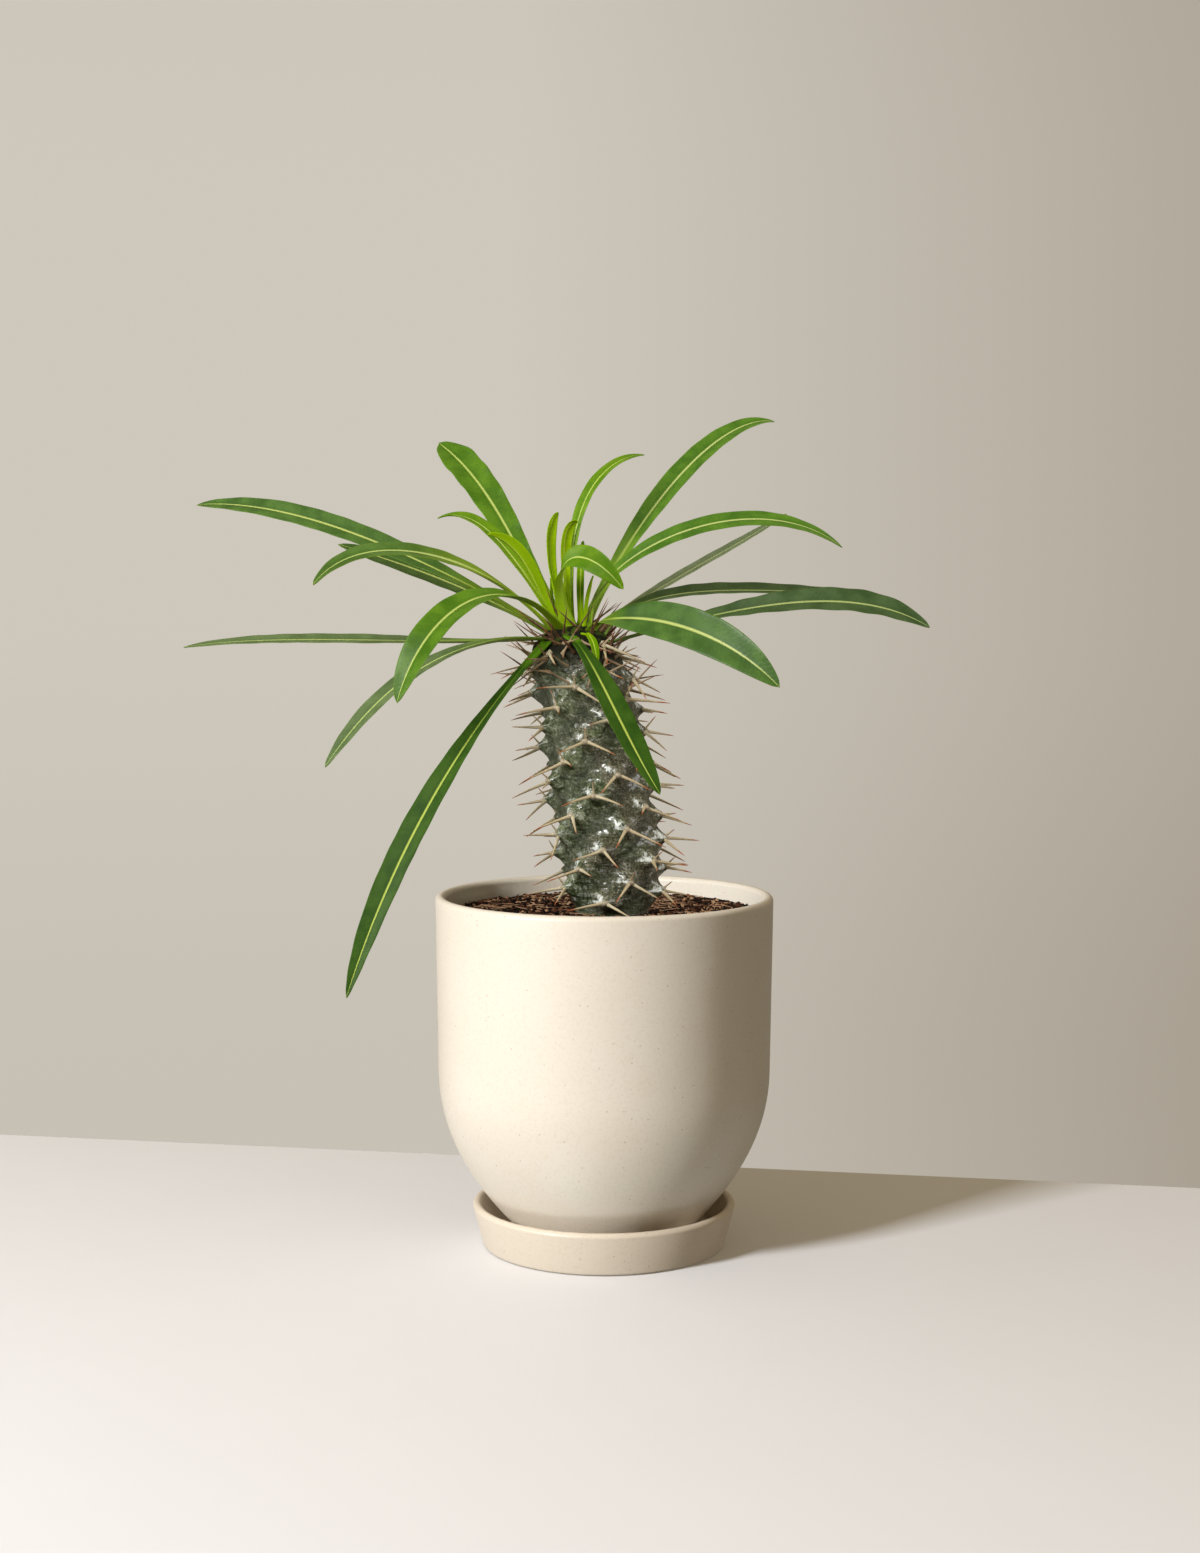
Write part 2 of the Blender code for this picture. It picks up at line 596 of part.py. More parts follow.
def loft_leaf(rings):
    """Join the rings with triangles that are split alike on the upper and the lower face."""
    points = [point for ring in rings for point in ring]
    faces = [(5, 4, 1, 0), (4, 3, 2, 1)]
    for station in range(len(rings) - 1):
        low, high = station * 6, (station + 1) * 6
        for side in range(6):
            beside = (side + 1) % 6
            if side < 3:
                faces.append((low + side, low + beside, high + beside))
                faces.append((low + side, high + beside, high + side))
            else:
                faces.append((low + side, low + beside, high + side))
                faces.append((low + beside, high + beside, high + side))
    last = (len(rings) - 1) * 6
    faces += [(last, last + 1, last + 4, last + 5), (last + 1, last + 2, last + 3, last + 4)]
    return points, faces


def build_leaves(collection):
    """One object for each leaf."""
    made = []
    for number, leaf in enumerate(LEAVES, start=1):
        name = f"leaf_{number:02d}"
        points, faces = loft_leaf([leaf_ring(leaf, share) for share in LEAF_STATIONS])
        mesh = bpy.data.meshes.new(name)
        mesh.from_pydata(to_metres(points), [], faces)
        young = 1.0 - smoothstep(4.0, 13.0, leaf.blade[1])
        colour = (0.05 + 0.12 * young, 0.17 + 0.2 * young, 0.025)
        made.append(add_object(name, mesh, collection, material(name, colour, 0.35, 0.2)))
    return made


def build():
    """Clear the scene and build the whole plant."""
    for old in list(bpy.data.objects):
        bpy.data.objects.remove(old)
    collection = bpy.data.collections.new("madagascar_palm")
    cutters = bpy.data.collections.new("cutters")
    bpy.context.scene.collection.children.link(collection)
    bpy.context.scene.collection.children.link(cutters)
    turned("saucer", saucer_outline(), False, collection, material("saucer", (0.78, 0.7, 0.57), 0.45, 0.2))
    turned("pot", pot_outline(), True, collection, material("pot", (0.82, 0.76, 0.65), 0.45, 0.2))
    build_soil(collection, cutters)
    leaves = build_leaves(collection)
    build_stem(collection, leaves)


build()
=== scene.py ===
"""The looks of a young Madagascar palm in a glazed planter that stands in its own saucer.

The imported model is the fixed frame, and a finer piece takes the place of each of its nodes: the
turned saucer and planter, the soil with its bark crumbs and fibres, the stem with its tubercles
and spines, and every leaf. Sizes are millimetres, as in the part's source, and become metres where
a mesh is made. The planter's axis is Z, the photograph looks along +Y, and azimuths are degrees
from +X towards +Y, seen from above.
"""
import logging
import math
import random
from dataclasses import dataclass, field
from enum import Enum

import bpy
import numpy as np
from mathutils import Matrix, Vector, noise
from mathutils.bvhtree import BVHTree


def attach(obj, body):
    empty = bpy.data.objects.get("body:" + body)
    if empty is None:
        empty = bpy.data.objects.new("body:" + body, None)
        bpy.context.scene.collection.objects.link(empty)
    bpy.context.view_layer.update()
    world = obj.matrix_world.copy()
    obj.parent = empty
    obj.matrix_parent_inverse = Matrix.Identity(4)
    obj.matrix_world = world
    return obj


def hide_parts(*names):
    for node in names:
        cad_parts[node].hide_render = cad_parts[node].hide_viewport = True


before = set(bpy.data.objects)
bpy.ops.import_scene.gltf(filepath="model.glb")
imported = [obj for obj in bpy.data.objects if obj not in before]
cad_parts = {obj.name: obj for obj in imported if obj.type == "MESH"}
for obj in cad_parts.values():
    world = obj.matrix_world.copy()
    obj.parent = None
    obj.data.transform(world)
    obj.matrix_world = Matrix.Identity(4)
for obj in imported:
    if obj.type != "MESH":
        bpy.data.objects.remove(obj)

MM = 0.001                              # metres in a millimetre
GAP = 0.3                               # between the soil and the planter's wall
ASKEW = (0.31, 0.17, 0.05)              # keeps the first side of a tube off its path
LOG = logging.getLogger("madagascar_palm")
Colour = tuple[float, float, float]
Triple = tuple[float, float, float]     # a place, a direction or a stretch along X, Y and Z
Pair = tuple[float, float]              # a place in the plane, or the ends of a range
UP = Vector((0.0, 0.0, 1.0))


# Numbers and curves

def smoothstep(low: float, high: float, value: np.ndarray | float) -> np.ndarray | float:
    """Rise softly from 0 at low to 1 at high."""
    share = np.clip((value - low) / (high - low), 0.0, 1.0)
    return share * share * (3.0 - 2.0 * share)


def read_table(table: tuple[Pair, ...], place: np.ndarray | float) -> np.ndarray | float:
    """Read a value from pairs of place and value, straight between them."""
    return np.interp(place, [pair[0] for pair in table], [pair[1] for pair in table])


def bezier(points: tuple[Pair, ...], share: np.ndarray) -> np.ndarray:
    """Work out points of a cubic Bezier curve in the plane.

    Args:
        points: The curve's start, its two handles and its end.
        share: Places along it, from 0 to 1.

    Returns:
        One row of two coordinates for each place.
    """
    share = np.asarray(share, float)[:, None]
    rest = 1.0 - share
    start, first, second, end = (np.array(point, float) for point in points)
    handles = 3 * share * rest ** 2 * first + 3 * share ** 2 * rest * second
    return rest ** 3 * start + handles + share ** 3 * end


def arc(centre: Pair, radius: float, start: float, end: float, steps: int) -> list[Pair]:
    """List the points of an arc in the plane, from start to end in degrees."""
    angles = [math.radians(start + (end - start) * step / steps) for step in range(steps + 1)]
    return [(centre[0] + radius * math.cos(a), centre[1] + radius * math.sin(a)) for a in angles]


def unit(rows: np.ndarray) -> np.ndarray:
    """Scale each row to length 1."""
    return rows / np.linalg.norm(rows, axis=-1, keepdims=True)


def outwards(azimuth: float) -> Vector:
    """Give the level direction of an azimuth in radians."""
    return Vector((math.cos(azimuth), math.sin(azimuth), 0.0))


def turn_section(section: np.ndarray, columns: int) -> np.ndarray:
    """Turn rows of radius and height round Z into rings of points."""
    angle = np.linspace(0.0, math.tau, columns, endpoint=False)
    radius, height = section[:, :1], section[:, 1:]
    return np.stack((radius * np.cos(angle), radius * np.sin(angle), height + 0.0 * angle), -1)


def tube(path: np.ndarray, radius: np.ndarray, sides: int) -> np.ndarray:
    """Wrap rings of points round a path.

    Args:
        path: Points along the middle.
        radius: Radius at each of them.
        sides: Points in each ring.

    Returns:
        The rings.
    """
    along = unit(np.gradient(path, axis=0))
    first = unit(np.cross(along, along[0][[1, 2, 0]] + ASKEW))
    second = np.cross(along, first)
    angle = np.linspace(0.0, math.tau, sides, endpoint=False)[None, :, None]
    ring = np.cos(angle) * first[:, None] + np.sin(angle) * second[:, None]
    return path[:, None] + ring * radius[:, None, None]


# Meshes and pieces

class Body:
    """Points, faces and values for the finish, gathered for one piece."""

    def __init__(self) -> None:
        self.points: list[np.ndarray] = []
        self.faces: list[list[int]] = []
        self.values: dict[str, list[np.ndarray]] = {}
        self.count = 0

    def add(self, points: np.ndarray, faces: list[list[int]], **values: np.ndarray | float) -> None:
        """Add a closed shape.

        Args:
            points: Its corners in millimetres, one row each.
            faces: Its faces as places in points.
            **values: A value for each corner, or one for all of them.
        """
        self.faces += [[corner + self.count for corner in face] for face in faces]
        self.points.append(points)
        for name, value in values.items():
            self.values.setdefault(name, []).append(np.broadcast_to(value, (len(points),)).astype(np.float32))
        self.count += len(points)

    def add_rings(self, rings: np.ndarray, joined: bool = False, **values: np.ndarray | float) -> None:
        """Add a skin over rings of points.

        Args:
            rings: Rows of points, each row a closed ring.
            joined: Whether the last ring meets the first. Otherwise both ends are capped.
            **values: A value for each point of the rings, or one for all of them.
        """
        rows, columns = rings.shape[:2]
        index = np.arange(rows * columns).reshape(rows, columns)
        above = np.roll(index, -1, axis=0) if joined else index[1:]
        low = index if joined else index[:-1]
        quads = np.stack((low, np.roll(low, -1, 1), np.roll(above, -1, 1), above), -1).reshape(-1, 4)
        faces = quads.tolist()
        if not joined:
            faces += [index[0][::-1].tolist(), index[-1].tolist()]
        points = rings.reshape(-1, 3)
        corners = points[quads] - points.mean(0)
        turning = np.cross(corners[:, 1] - corners[:, 0], corners[:, 3] - corners[:, 0])
        if np.einsum("ij,ij->", corners[:, 0], turning) < 0.0:
            faces = [face[::-1] for face in faces]
        flat = {name: np.broadcast_to(value, (rows, columns)).ravel() for name, value in values.items()}
        self.add(points, faces, **flat)

    def make(self, name: str, surface: bpy.types.Material, sharp: float | None = None,
             smooth: bool = True) -> bpy.types.Object:
        """Turn what was gathered into an object.

        Args:
            name: The object's name.
            surface: Its material.
            sharp: Angle in degrees above which an edge stays sharp.
            smooth: Whether its faces are shaded smooth.

        Returns:
            The new object, in the scene.
        """
        mesh = bpy.data.meshes.new(name)
        mesh.from_pydata(np.concatenate(self.points) * MM, [], self.faces)
        for label, parts in self.values.items():
            layer = mesh.attributes.new(label, "FLOAT", "POINT")
            layer.data.foreach_set("value", np.concatenate(parts))
        mesh.materials.append(surface)
        if smooth:
            mesh.shade_smooth()
            if sharp:
                mesh.set_sharp_from_angle(angle=math.radians(sharp))
        made = bpy.data.objects.new(name, mesh)
        bpy.context.scene.collection.objects.link(made)
        return made


def settle(piece: bpy.types.Object, slot: str, *nodes: str) -> bpy.types.Object:
    """Let a piece ride on the part and stand for its nodes."""
    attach(piece, "root")
    if nodes:
        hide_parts(*nodes)
    LOG.info("%s: %d faces", piece.name, len(piece.data.polygons))
    return piece


# Shader maths

class Sock:
    """A shader socket that takes part in sums as a number does."""

    def __init__(self, graph: "Graph", socket: bpy.types.NodeSocket) -> None:
        self.graph = graph
        self.socket = socket

    def __add__(self, other: "Sock | float") -> "Sock":
        """Add."""
        return self.graph.maths("ADD", self, other)

    def __sub__(self, other: "Sock | float") -> "Sock":
        """Take away."""
        return self.graph.maths("SUBTRACT", self, other)

    def __rsub__(self, other: float) -> "Sock":
        """Take this from a number."""
        return self.graph.maths("SUBTRACT", other, self)

    def __mul__(self, other: "Sock | float") -> "Sock":
        """Multiply."""
        return self.graph.maths("MULTIPLY", self, other)

    __radd__ = __add__
    __rmul__ = __mul__

    def size(self) -> "Sock":
        """Drop the sign."""
        return self.graph.maths("ABSOLUTE", self)

    def sine(self) -> "Sock":
        """Take the sine."""
        return self.graph.maths("SINE", self)

    def most(self, other: "Sock | float") -> "Sock":
        """Take the larger of two."""
        return self.graph.maths("MAXIMUM", self, other)

    def rise(self, low: "Sock | float", high: "Sock | float") -> "Sock":
        """Rise softly from 0 at low to 1 at high."""
        return self.graph.node("ShaderNodeMapRange", {"interpolation_type": "SMOOTHSTEP"},
                               {"Value": self, "From Min": low, "From Max": high}, "Result")

    def fall(self, low: "Sock | float", high: "Sock | float") -> "Sock":
        """Fall softly from 1 at low to 0 at high."""
        return 1.0 - self.rise(low, high)


class Graph:
    """The nodes of one material, or of the room's light."""

    def __init__(self, name: str, kind: str = "materials") -> None:
        self.owner = getattr(bpy.data, kind).new(name)
        self.owner.use_nodes = True
        self.tree = self.owner.node_tree
        self.tree.nodes.clear()

    def node(self, kind: str, settings: dict, sockets: dict, out: str | int = 0) -> Sock:
        """Add a node.

        Args:
            kind: The node's type.
            settings: Its own properties, set first.
            sockets: Values or links of its inputs, by name or place.
            out: Which output to give back, by name or place.

        Returns:
            The chosen output.
        """
        made = self.tree.nodes.new(kind)
        for name, value in settings.items():
            setattr(made, name, value)
        for name, value in sockets.items():
            if isinstance(value, Sock):
                self.tree.links.new(value.socket, made.inputs[name])
            elif isinstance(value, tuple) and made.inputs[name].type == "RGBA":
                made.inputs[name].default_value = (*value, 1.0)
            else:
                made.inputs[name].default_value = value
        return Sock(self, made.outputs[out] if made.outputs else None)

    def maths(self, operation: str, *values: "Sock | float") -> Sock:
        """Work out one step of a sum."""
        return self.node("ShaderNodeMath", {"operation": operation}, dict(enumerate(values)))

    def value(self, name: str) -> Sock:
        """Read a value that the mesh carries."""
        return self.node("ShaderNodeAttribute", {"attribute_name": name}, {}, "Fac")

    def place(self, stretch: Triple = (1.0, 1.0, 1.0)) -> Sock:
        """Give the place on the object, in metres, stretched along its axes."""
        here = self.node("ShaderNodeTexCoord", {}, {}, "Object")
        if stretch == (1.0, 1.0, 1.0):
            return here
        return self.node("ShaderNodeVectorMath", {"operation": "MULTIPLY"}, {0: here, 1: stretch})

    def axis(self, place: Sock, name: str) -> Sock:
        """Read one of a place's coordinates, X, Y or Z."""
        return self.node("ShaderNodeSeparateXYZ", {}, {0: place}, name)

    def noise(self, grain: float, detail: float = 3.0, rough: float = 0.5,
              stretch: Triple = (1.0, 1.0, 1.0), twist: float = 0.0) -> Sock:
        """Give cloudy noise about 0.5.

        Args:
            grain: The size of its largest blots in millimetres.
            detail: How many finer layers it has.
            rough: How strong those are.
            stretch: How much faster it changes along each axis.
            twist: How far it swirls.

        Returns:
            The noise.
        """
        return self.node("ShaderNodeTexNoise", {}, {
            "Vector": self.place(stretch), "Scale": 1.0 / (grain * MM), "Detail": detail, "Roughness": rough,
            "Distortion": twist})

    def specks(self, apart: float, radius: float, share: float) -> Sock:
        """Scatter round specks.

        Args:
            apart: How far apart they lie in millimetres.
            radius: Their radius in millimetres.
            share: The share of places that has one.

        Returns:
            1 in a speck and 0 beside it.
        """
        inputs = {"Vector": self.place(), "Scale": 1.0 / (apart * MM)}
        reach = self.node("ShaderNodeTexVoronoi", {}, inputs, "Distance")
        pick = self.node("ShaderNodeTexVoronoi", {}, inputs, "Color")
        chance = self.node("ShaderNodeSeparateColor", {}, {0: pick}, 0)
        return reach.fall(radius / apart * 0.6, radius / apart) * chance.fall(share - 0.02, share + 0.02)

    def mix(self, factor: "Sock | float", first: "Sock | Colour", second: "Sock | Colour") -> Sock:
        """Mix two colours."""
        return self.node("ShaderNodeMix", {"data_type": "RGBA"}, {0: factor, 6: first, 7: second}, 2)

    def layers(self, colour: "Sock | Colour", *coats: tuple["Sock | float", "Sock | Colour"]) -> Sock:
        """Lay coats over a colour, from the first to the last.

        Args:
            colour: The colour underneath.
            *coats: How much each coat covers, and its own colour.

        Returns:
            The colour on top.
        """
        for cover, coat in coats:
            colour = self.mix(cover, colour, coat)
        return colour

    def bump(self, height: Sock, depth: float) -> Sock:
        """Turn a height into a normal.

        Args:
            height: The height, from 0 to 1.
            depth: How deep a step from 0 to 1 is, in millimetres.

        Returns:
            The normal.
        """
        return self.node("ShaderNodeBump", {}, {"Height": height, "Distance": depth * MM, "Strength": 1.0})

    def surface(self, **sockets: "Sock | float | Colour") -> bpy.types.Material:
        """End in a Principled shader.

        Args:
            **sockets: Its inputs, with _ for each space in their names.

        Returns:
            The finished material.
        """
        named = {name.replace("_", " "): value for name, value in sockets.items()}
        shader = self.node("ShaderNodeBsdfPrincipled", {}, named)
        self.node("ShaderNodeOutputMaterial", {}, {"Surface": shader})
        return self.owner


# Finishes

@dataclass(frozen=True)
class Glaze:
    """A satin cream glaze with fine tan specks."""

    name: str
    colour: Colour
    warm: Colour
    speck: Colour = (0.42, 0.28, 0.15)
    roughness: float = 0.36

    def material(self) -> bpy.types.Material:
        """Build the glaze."""
        graph = Graph(self.name)
        cloud = graph.noise(38.0, 3.0)
        fine = graph.noise(1.4, 2.0)
        specks = graph.specks(3.6, 0.42, 0.45).most(graph.specks(2.1, 0.26, 0.6) * 0.75)
        colour = graph.layers(self.colour, (cloud.rise(0.35, 0.7) * 0.6, self.warm),
                              (fine.rise(0.45, 0.75) * 0.09, self.speck), (specks * 0.5, self.speck))
        height = 0.75 * cloud + 0.1 * fine - 0.15 * specks
        return graph.surface(
            Base_Color=colour, Roughness=self.roughness + 0.12 * fine + 0.1 * specks,
            Specular_IOR_Level=0.45, Normal=graph.bump(height, 0.35))


@dataclass(frozen=True)
class Earth:
    """Dark bark and coir, from near-black brown to reddish and tan bits; on the soil bed the near-black is
    partly painted shade between the crumbs.
    """

    name: str
    dark: Colour = (0.005, 0.0025, 0.002)
    red: Colour = (0.115, 0.046, 0.024)
    tan: Colour = (0.5, 0.31, 0.18)
    grain: float = 1.1

    def material(self) -> bpy.types.Material:
        """Build the earth, which reads each crumb's tint from its mesh."""
        graph = Graph(self.name)
        tint = graph.value("tint")
        grit = graph.noise(self.grain, 4.0, 0.65)
        streaks = graph.noise(0.7, 2.0)
        colour = graph.layers(self.dark, ((tint + grit * 0.6).rise(0.4, 1.1), self.red),
                              ((tint + streaks * 0.25).rise(0.95, 1.15), self.tan))
        return graph.surface(
            Base_Color=colour, Roughness=0.7 + 0.2 * streaks, Specular_IOR_Level=0.12,
            Normal=graph.bump(grit * 0.6 + streaks * 0.4, 0.5))


@dataclass(frozen=True)
class Bark:
    """Dark green stem skin with a grey mottle, brown patches, white wax with painted highlight, tan knobs,
    painted shade in the valleys and a near-black crown of painted shade.
    """

    name: str = "stem_skin"
    green: Colour = (0.024, 0.04, 0.007)
    grey: Colour = (0.195, 0.22, 0.125)
    brown: Colour = (0.25, 0.205, 0.145)
    dark: Colour = (0.014, 0.018, 0.008)
    # White of the wax, which also serves as painted highlight.
    wax: Colour = (0.74, 0.77, 0.74)
    knob: Colour = (0.5, 0.42, 0.29)
    # Near black: painted shade on the crown among the leaf feet.
    crown: Colour = (0.006, 0.006, 0.002)
    olive: Colour = (0.045, 0.075, 0.004)

    def material(self) -> bpy.types.Material:
        """Build the skin, which reads its height and where wax with painted highlight and knobs lie from the
        mesh.
        """
        graph = Graph(self.name)
        names = ("raised", "height", "aside", "wax", "knob")
        raised, height, aside, waxed, knob = (graph.value(name) for name in names)
        broad = graph.noise(17.0, 3.0)
        swirl = graph.noise(6.5, 5.0, 0.62, (1.0, 1.0, 1.5), 1.6)
        grain = graph.noise(0.9, 3.0, 0.7)
        strokes = graph.noise(1.5, 3.0, 0.65, (1.0, 1.0, 0.4))
        rings = graph.noise(9.0, 4.0, 0.7, (1.0, 1.0, 7.0), 0.4)
        shoots = graph.noise(3.0, 2.0, 0.5, (1.0, 1.0, 0.3)).rise(0.48, 0.62) * height.rise(0.93, 0.97)
        patch = (broad + 0.25 * aside + 0.3 * swirl).rise(0.68, 0.88)
        # White hatching where the mesh marks wax: partly wax, partly painted highlight.
        hatched_wax_and_highlight = (waxed * (1.9 * strokes - 0.35) + 0.5 * (swirl + grain) - 0.5).rise(0.3, 0.75)
        # Streaks low on the stem, white as wax and painted highlight.
        low = height.fall(0.06, 0.45) * rings.rise(0.54, 0.66) * strokes.rise(0.42, 0.6)
        colour = graph.layers(
            self.green,
            ((swirl * 0.6 + strokes * 0.25 + grain * 0.15).rise(0.4, 0.62), self.grey),
            (patch * 0.65, graph.mix(grain.rise(0.3, 0.7), self.dark, self.brown)),
            (grain.fall(0.3, 0.48) * 0.8, self.dark),
            (swirl.fall(0.34, 0.47) * 0.6, self.dark),
            # Wax and painted highlight: white spots, the hatching and the low streaks.
            ((swirl + grain).rise(1.08, 1.3) * 0.5, self.wax),
            (hatched_wax_and_highlight * 0.9, self.wax),
            (low * 0.75, self.wax),
            # Painted shade: the valleys between the tubercles are darkened.
            (raised.fall(0.1, 0.6) * 0.5, self.dark),
            (knob.rise(0.3, 0.8), graph.mix(grain, self.brown, self.knob)),
            # Painted shade: near black towards the crown among the leaf feet, with olive shoots, less on the
            # knobs.
            (height.rise(0.82, 0.93) * (1.0 - 0.7 * knob), graph.mix(shoots, self.crown, self.olive)))
        relief = swirl * 0.5 + (grain + strokes) * 0.12 + rings * height.fall(0.1, 0.5) * 0.4 + hatched_wax_and_highlight * 0.08
        dome = height.rise(0.78, 0.9)
        return graph.surface(
            Base_Color=colour, Roughness=0.36 + 0.3 * grain + 0.3 * dome, Specular_IOR_Level=0.18,
            Coat_Weight=0.45 * (1.0 - dome), Coat_Roughness=0.16, Normal=graph.bump(relief, 1.5))


@dataclass(frozen=True)
class Thorn:
    """A spine: pale and woody at its base, tan along it, and rust-coloured at its tip."""

    name: str
    base: Colour
    middle: Colour
    tip: Colour

    def material(self) -> bpy.types.Material:
        """Build the spine's finish, which reads the share of its length from the mesh."""
        graph = Graph(self.name)
        share, tint = graph.value("share"), graph.value("tint")
        streaks = graph.noise(1.2, 3.0)
        colour = graph.layers(self.base, ((share + 0.6 * tint + 0.3 * streaks).rise(0.3, 1.0), self.middle),
                              ((share + 0.16 * tint).rise(0.8, 1.0), self.tip))
        return graph.surface(
            Base_Color=colour, Roughness=0.42 + 0.2 * streaks, Specular_IOR_Level=0.5,
            Normal=graph.bump(streaks, 0.12))


@dataclass(frozen=True)
class Foliage:
    """A leaf's skin: blade, pale rib, thin pale edge, fine side veins, a dull underside and a painted shadow
    in the gutter beside the rib.
    """

    name: str
    deep: Colour
    bright: Colour
    rib: Colour
    stalk: Colour
    under: Colour
    roughness: float = 0.4
    blemish: Colour = (0.16, 0.05, 0.025)
    blemishes: float = 0.05
    rib_half: float = 0.48
    stalk_share: float = 0.36
    gloss: float = 0.22

    def material(self) -> bpy.types.Material:
        """Build the skin, which reads places on the leaf from its mesh."""
        graph = Graph(self.name)
        across, edge = graph.value("across").size(), graph.value("edge")
        share, run, upper, width = (graph.value(name) for name in ("share", "run", "upper", "width"))
        cloud = graph.noise(9.0, 3.0)
        fine = graph.noise(0.8, 2.0)
        veins = ((run - 0.6 * across + 5.0 * cloud) * 2.6).sine()
        marks = graph.specks(16.0, 0.7, self.blemishes) * share.rise(0.25, 0.35)
        broad = self.rib_half * (0.45 + 0.085 * width - 0.4 * share.rise(0.6, 1.0))
        broad = broad + width * 0.3 * share.fall(0.02, self.stalk_share)
        rib = across.fall(broad * 0.4, broad * 1.7)
        colour = graph.layers(
            self.deep,
            ((cloud * 0.8 + veins * 0.012 + fine * 0.15).rise(0.28, 0.68), self.bright),
            # Painted shade: a darker band in the gutter on each side of the rib.
            (across.fall(0.7, 2.4) * across.rise(0.3, 0.6) * 0.45, self.deep),
            ((1.0 - upper) * 0.8, self.under),
            (share.fall(0.06, self.stalk_share) * 0.85, self.stalk),
            (graph.specks(7.0, 0.4, 0.2) * 0.4, self.stalk),
            (marks * 0.8, self.blemish),
            (rib * 0.88, graph.mix(share.rise(0.1, 0.45), self.stalk, self.rib)),
            (edge.fall(0.05, 0.4) * 0.4, self.stalk))
        relief = veins * 0.03 + fine * 0.08 + cloud * 0.86
        return graph.surface(
            Base_Color=colour, Roughness=self.roughness + 0.08 * fine + 0.14 * (1.0 - upper),
            Specular_IOR_Level=self.gloss, Normal=graph.bump(relief, 0.25))


@dataclass(frozen=True)
class Ground:
    """The pale, plain, matte floor."""

    name: str = "pale_floor"
    colour: Colour = (0.82, 0.825, 0.84)

    def material(self) -> bpy.types.Material:
        """Build the floor's paint."""
        graph = Graph(self.name)
        cloud = graph.noise(60.0, 4.0)
        colour = graph.mix(cloud, self.colour, tuple(part * 0.97 for part in self.colour))
        return graph.surface(Base_Color=colour, Roughness=0.7, Specular_IOR_Level=0.2)


@dataclass(frozen=True)
class Backcloth:
    """A warm grey backdrop that glows by itself, with painted shade that darkens it to the right, low down
    and high up.
    """

    name: str = "warm_grey_backdrop"
    light: Colour = (0.62, 0.578, 0.505)
    shade: Colour = (0.386, 0.342, 0.278)

    def material(self) -> bpy.types.Material:
        """Build the backdrop, which shines by itself so that no lamp has to reach it."""
        graph = Graph(self.name)
        side, height = (graph.axis(graph.place(), name) for name in "XZ")
        # Painted shade: darker to the right, towards the foot and near the top.
        fade = (side * 0.62 + 0.1).most(0.0) + 0.2 * height.fall(-0.6, 0.3) + 0.1 * height.rise(1.0, 1.8)
        shine = graph.node("ShaderNodeEmission", {}, {
            "Color": graph.mix(fade, self.light, self.shade), "Strength": 1.0})
        graph.node("ShaderNodeOutputMaterial", {}, {"Surface": shine})
        return graph.owner


CREAM = Glaze("cream_glaze", (0.82, 0.765, 0.67), (0.81, 0.74, 0.63))
WARM_CREAM = Glaze("warm_cream_glaze", (0.82, 0.735, 0.62), (0.8, 0.7, 0.575))
OLD_THORN = Thorn("tan_spines", (0.68, 0.61, 0.43), (0.56, 0.455, 0.28), (0.43, 0.12, 0.035))
NEW_THORN = Thorn("brown_spines", (0.23, 0.14, 0.065), (0.15, 0.062, 0.03), (0.3, 0.08, 0.03))
COLLAR_THORN = Thorn("dun_spines", (0.52, 0.41, 0.26), (0.38, 0.26, 0.16), (0.32, 0.11, 0.05))


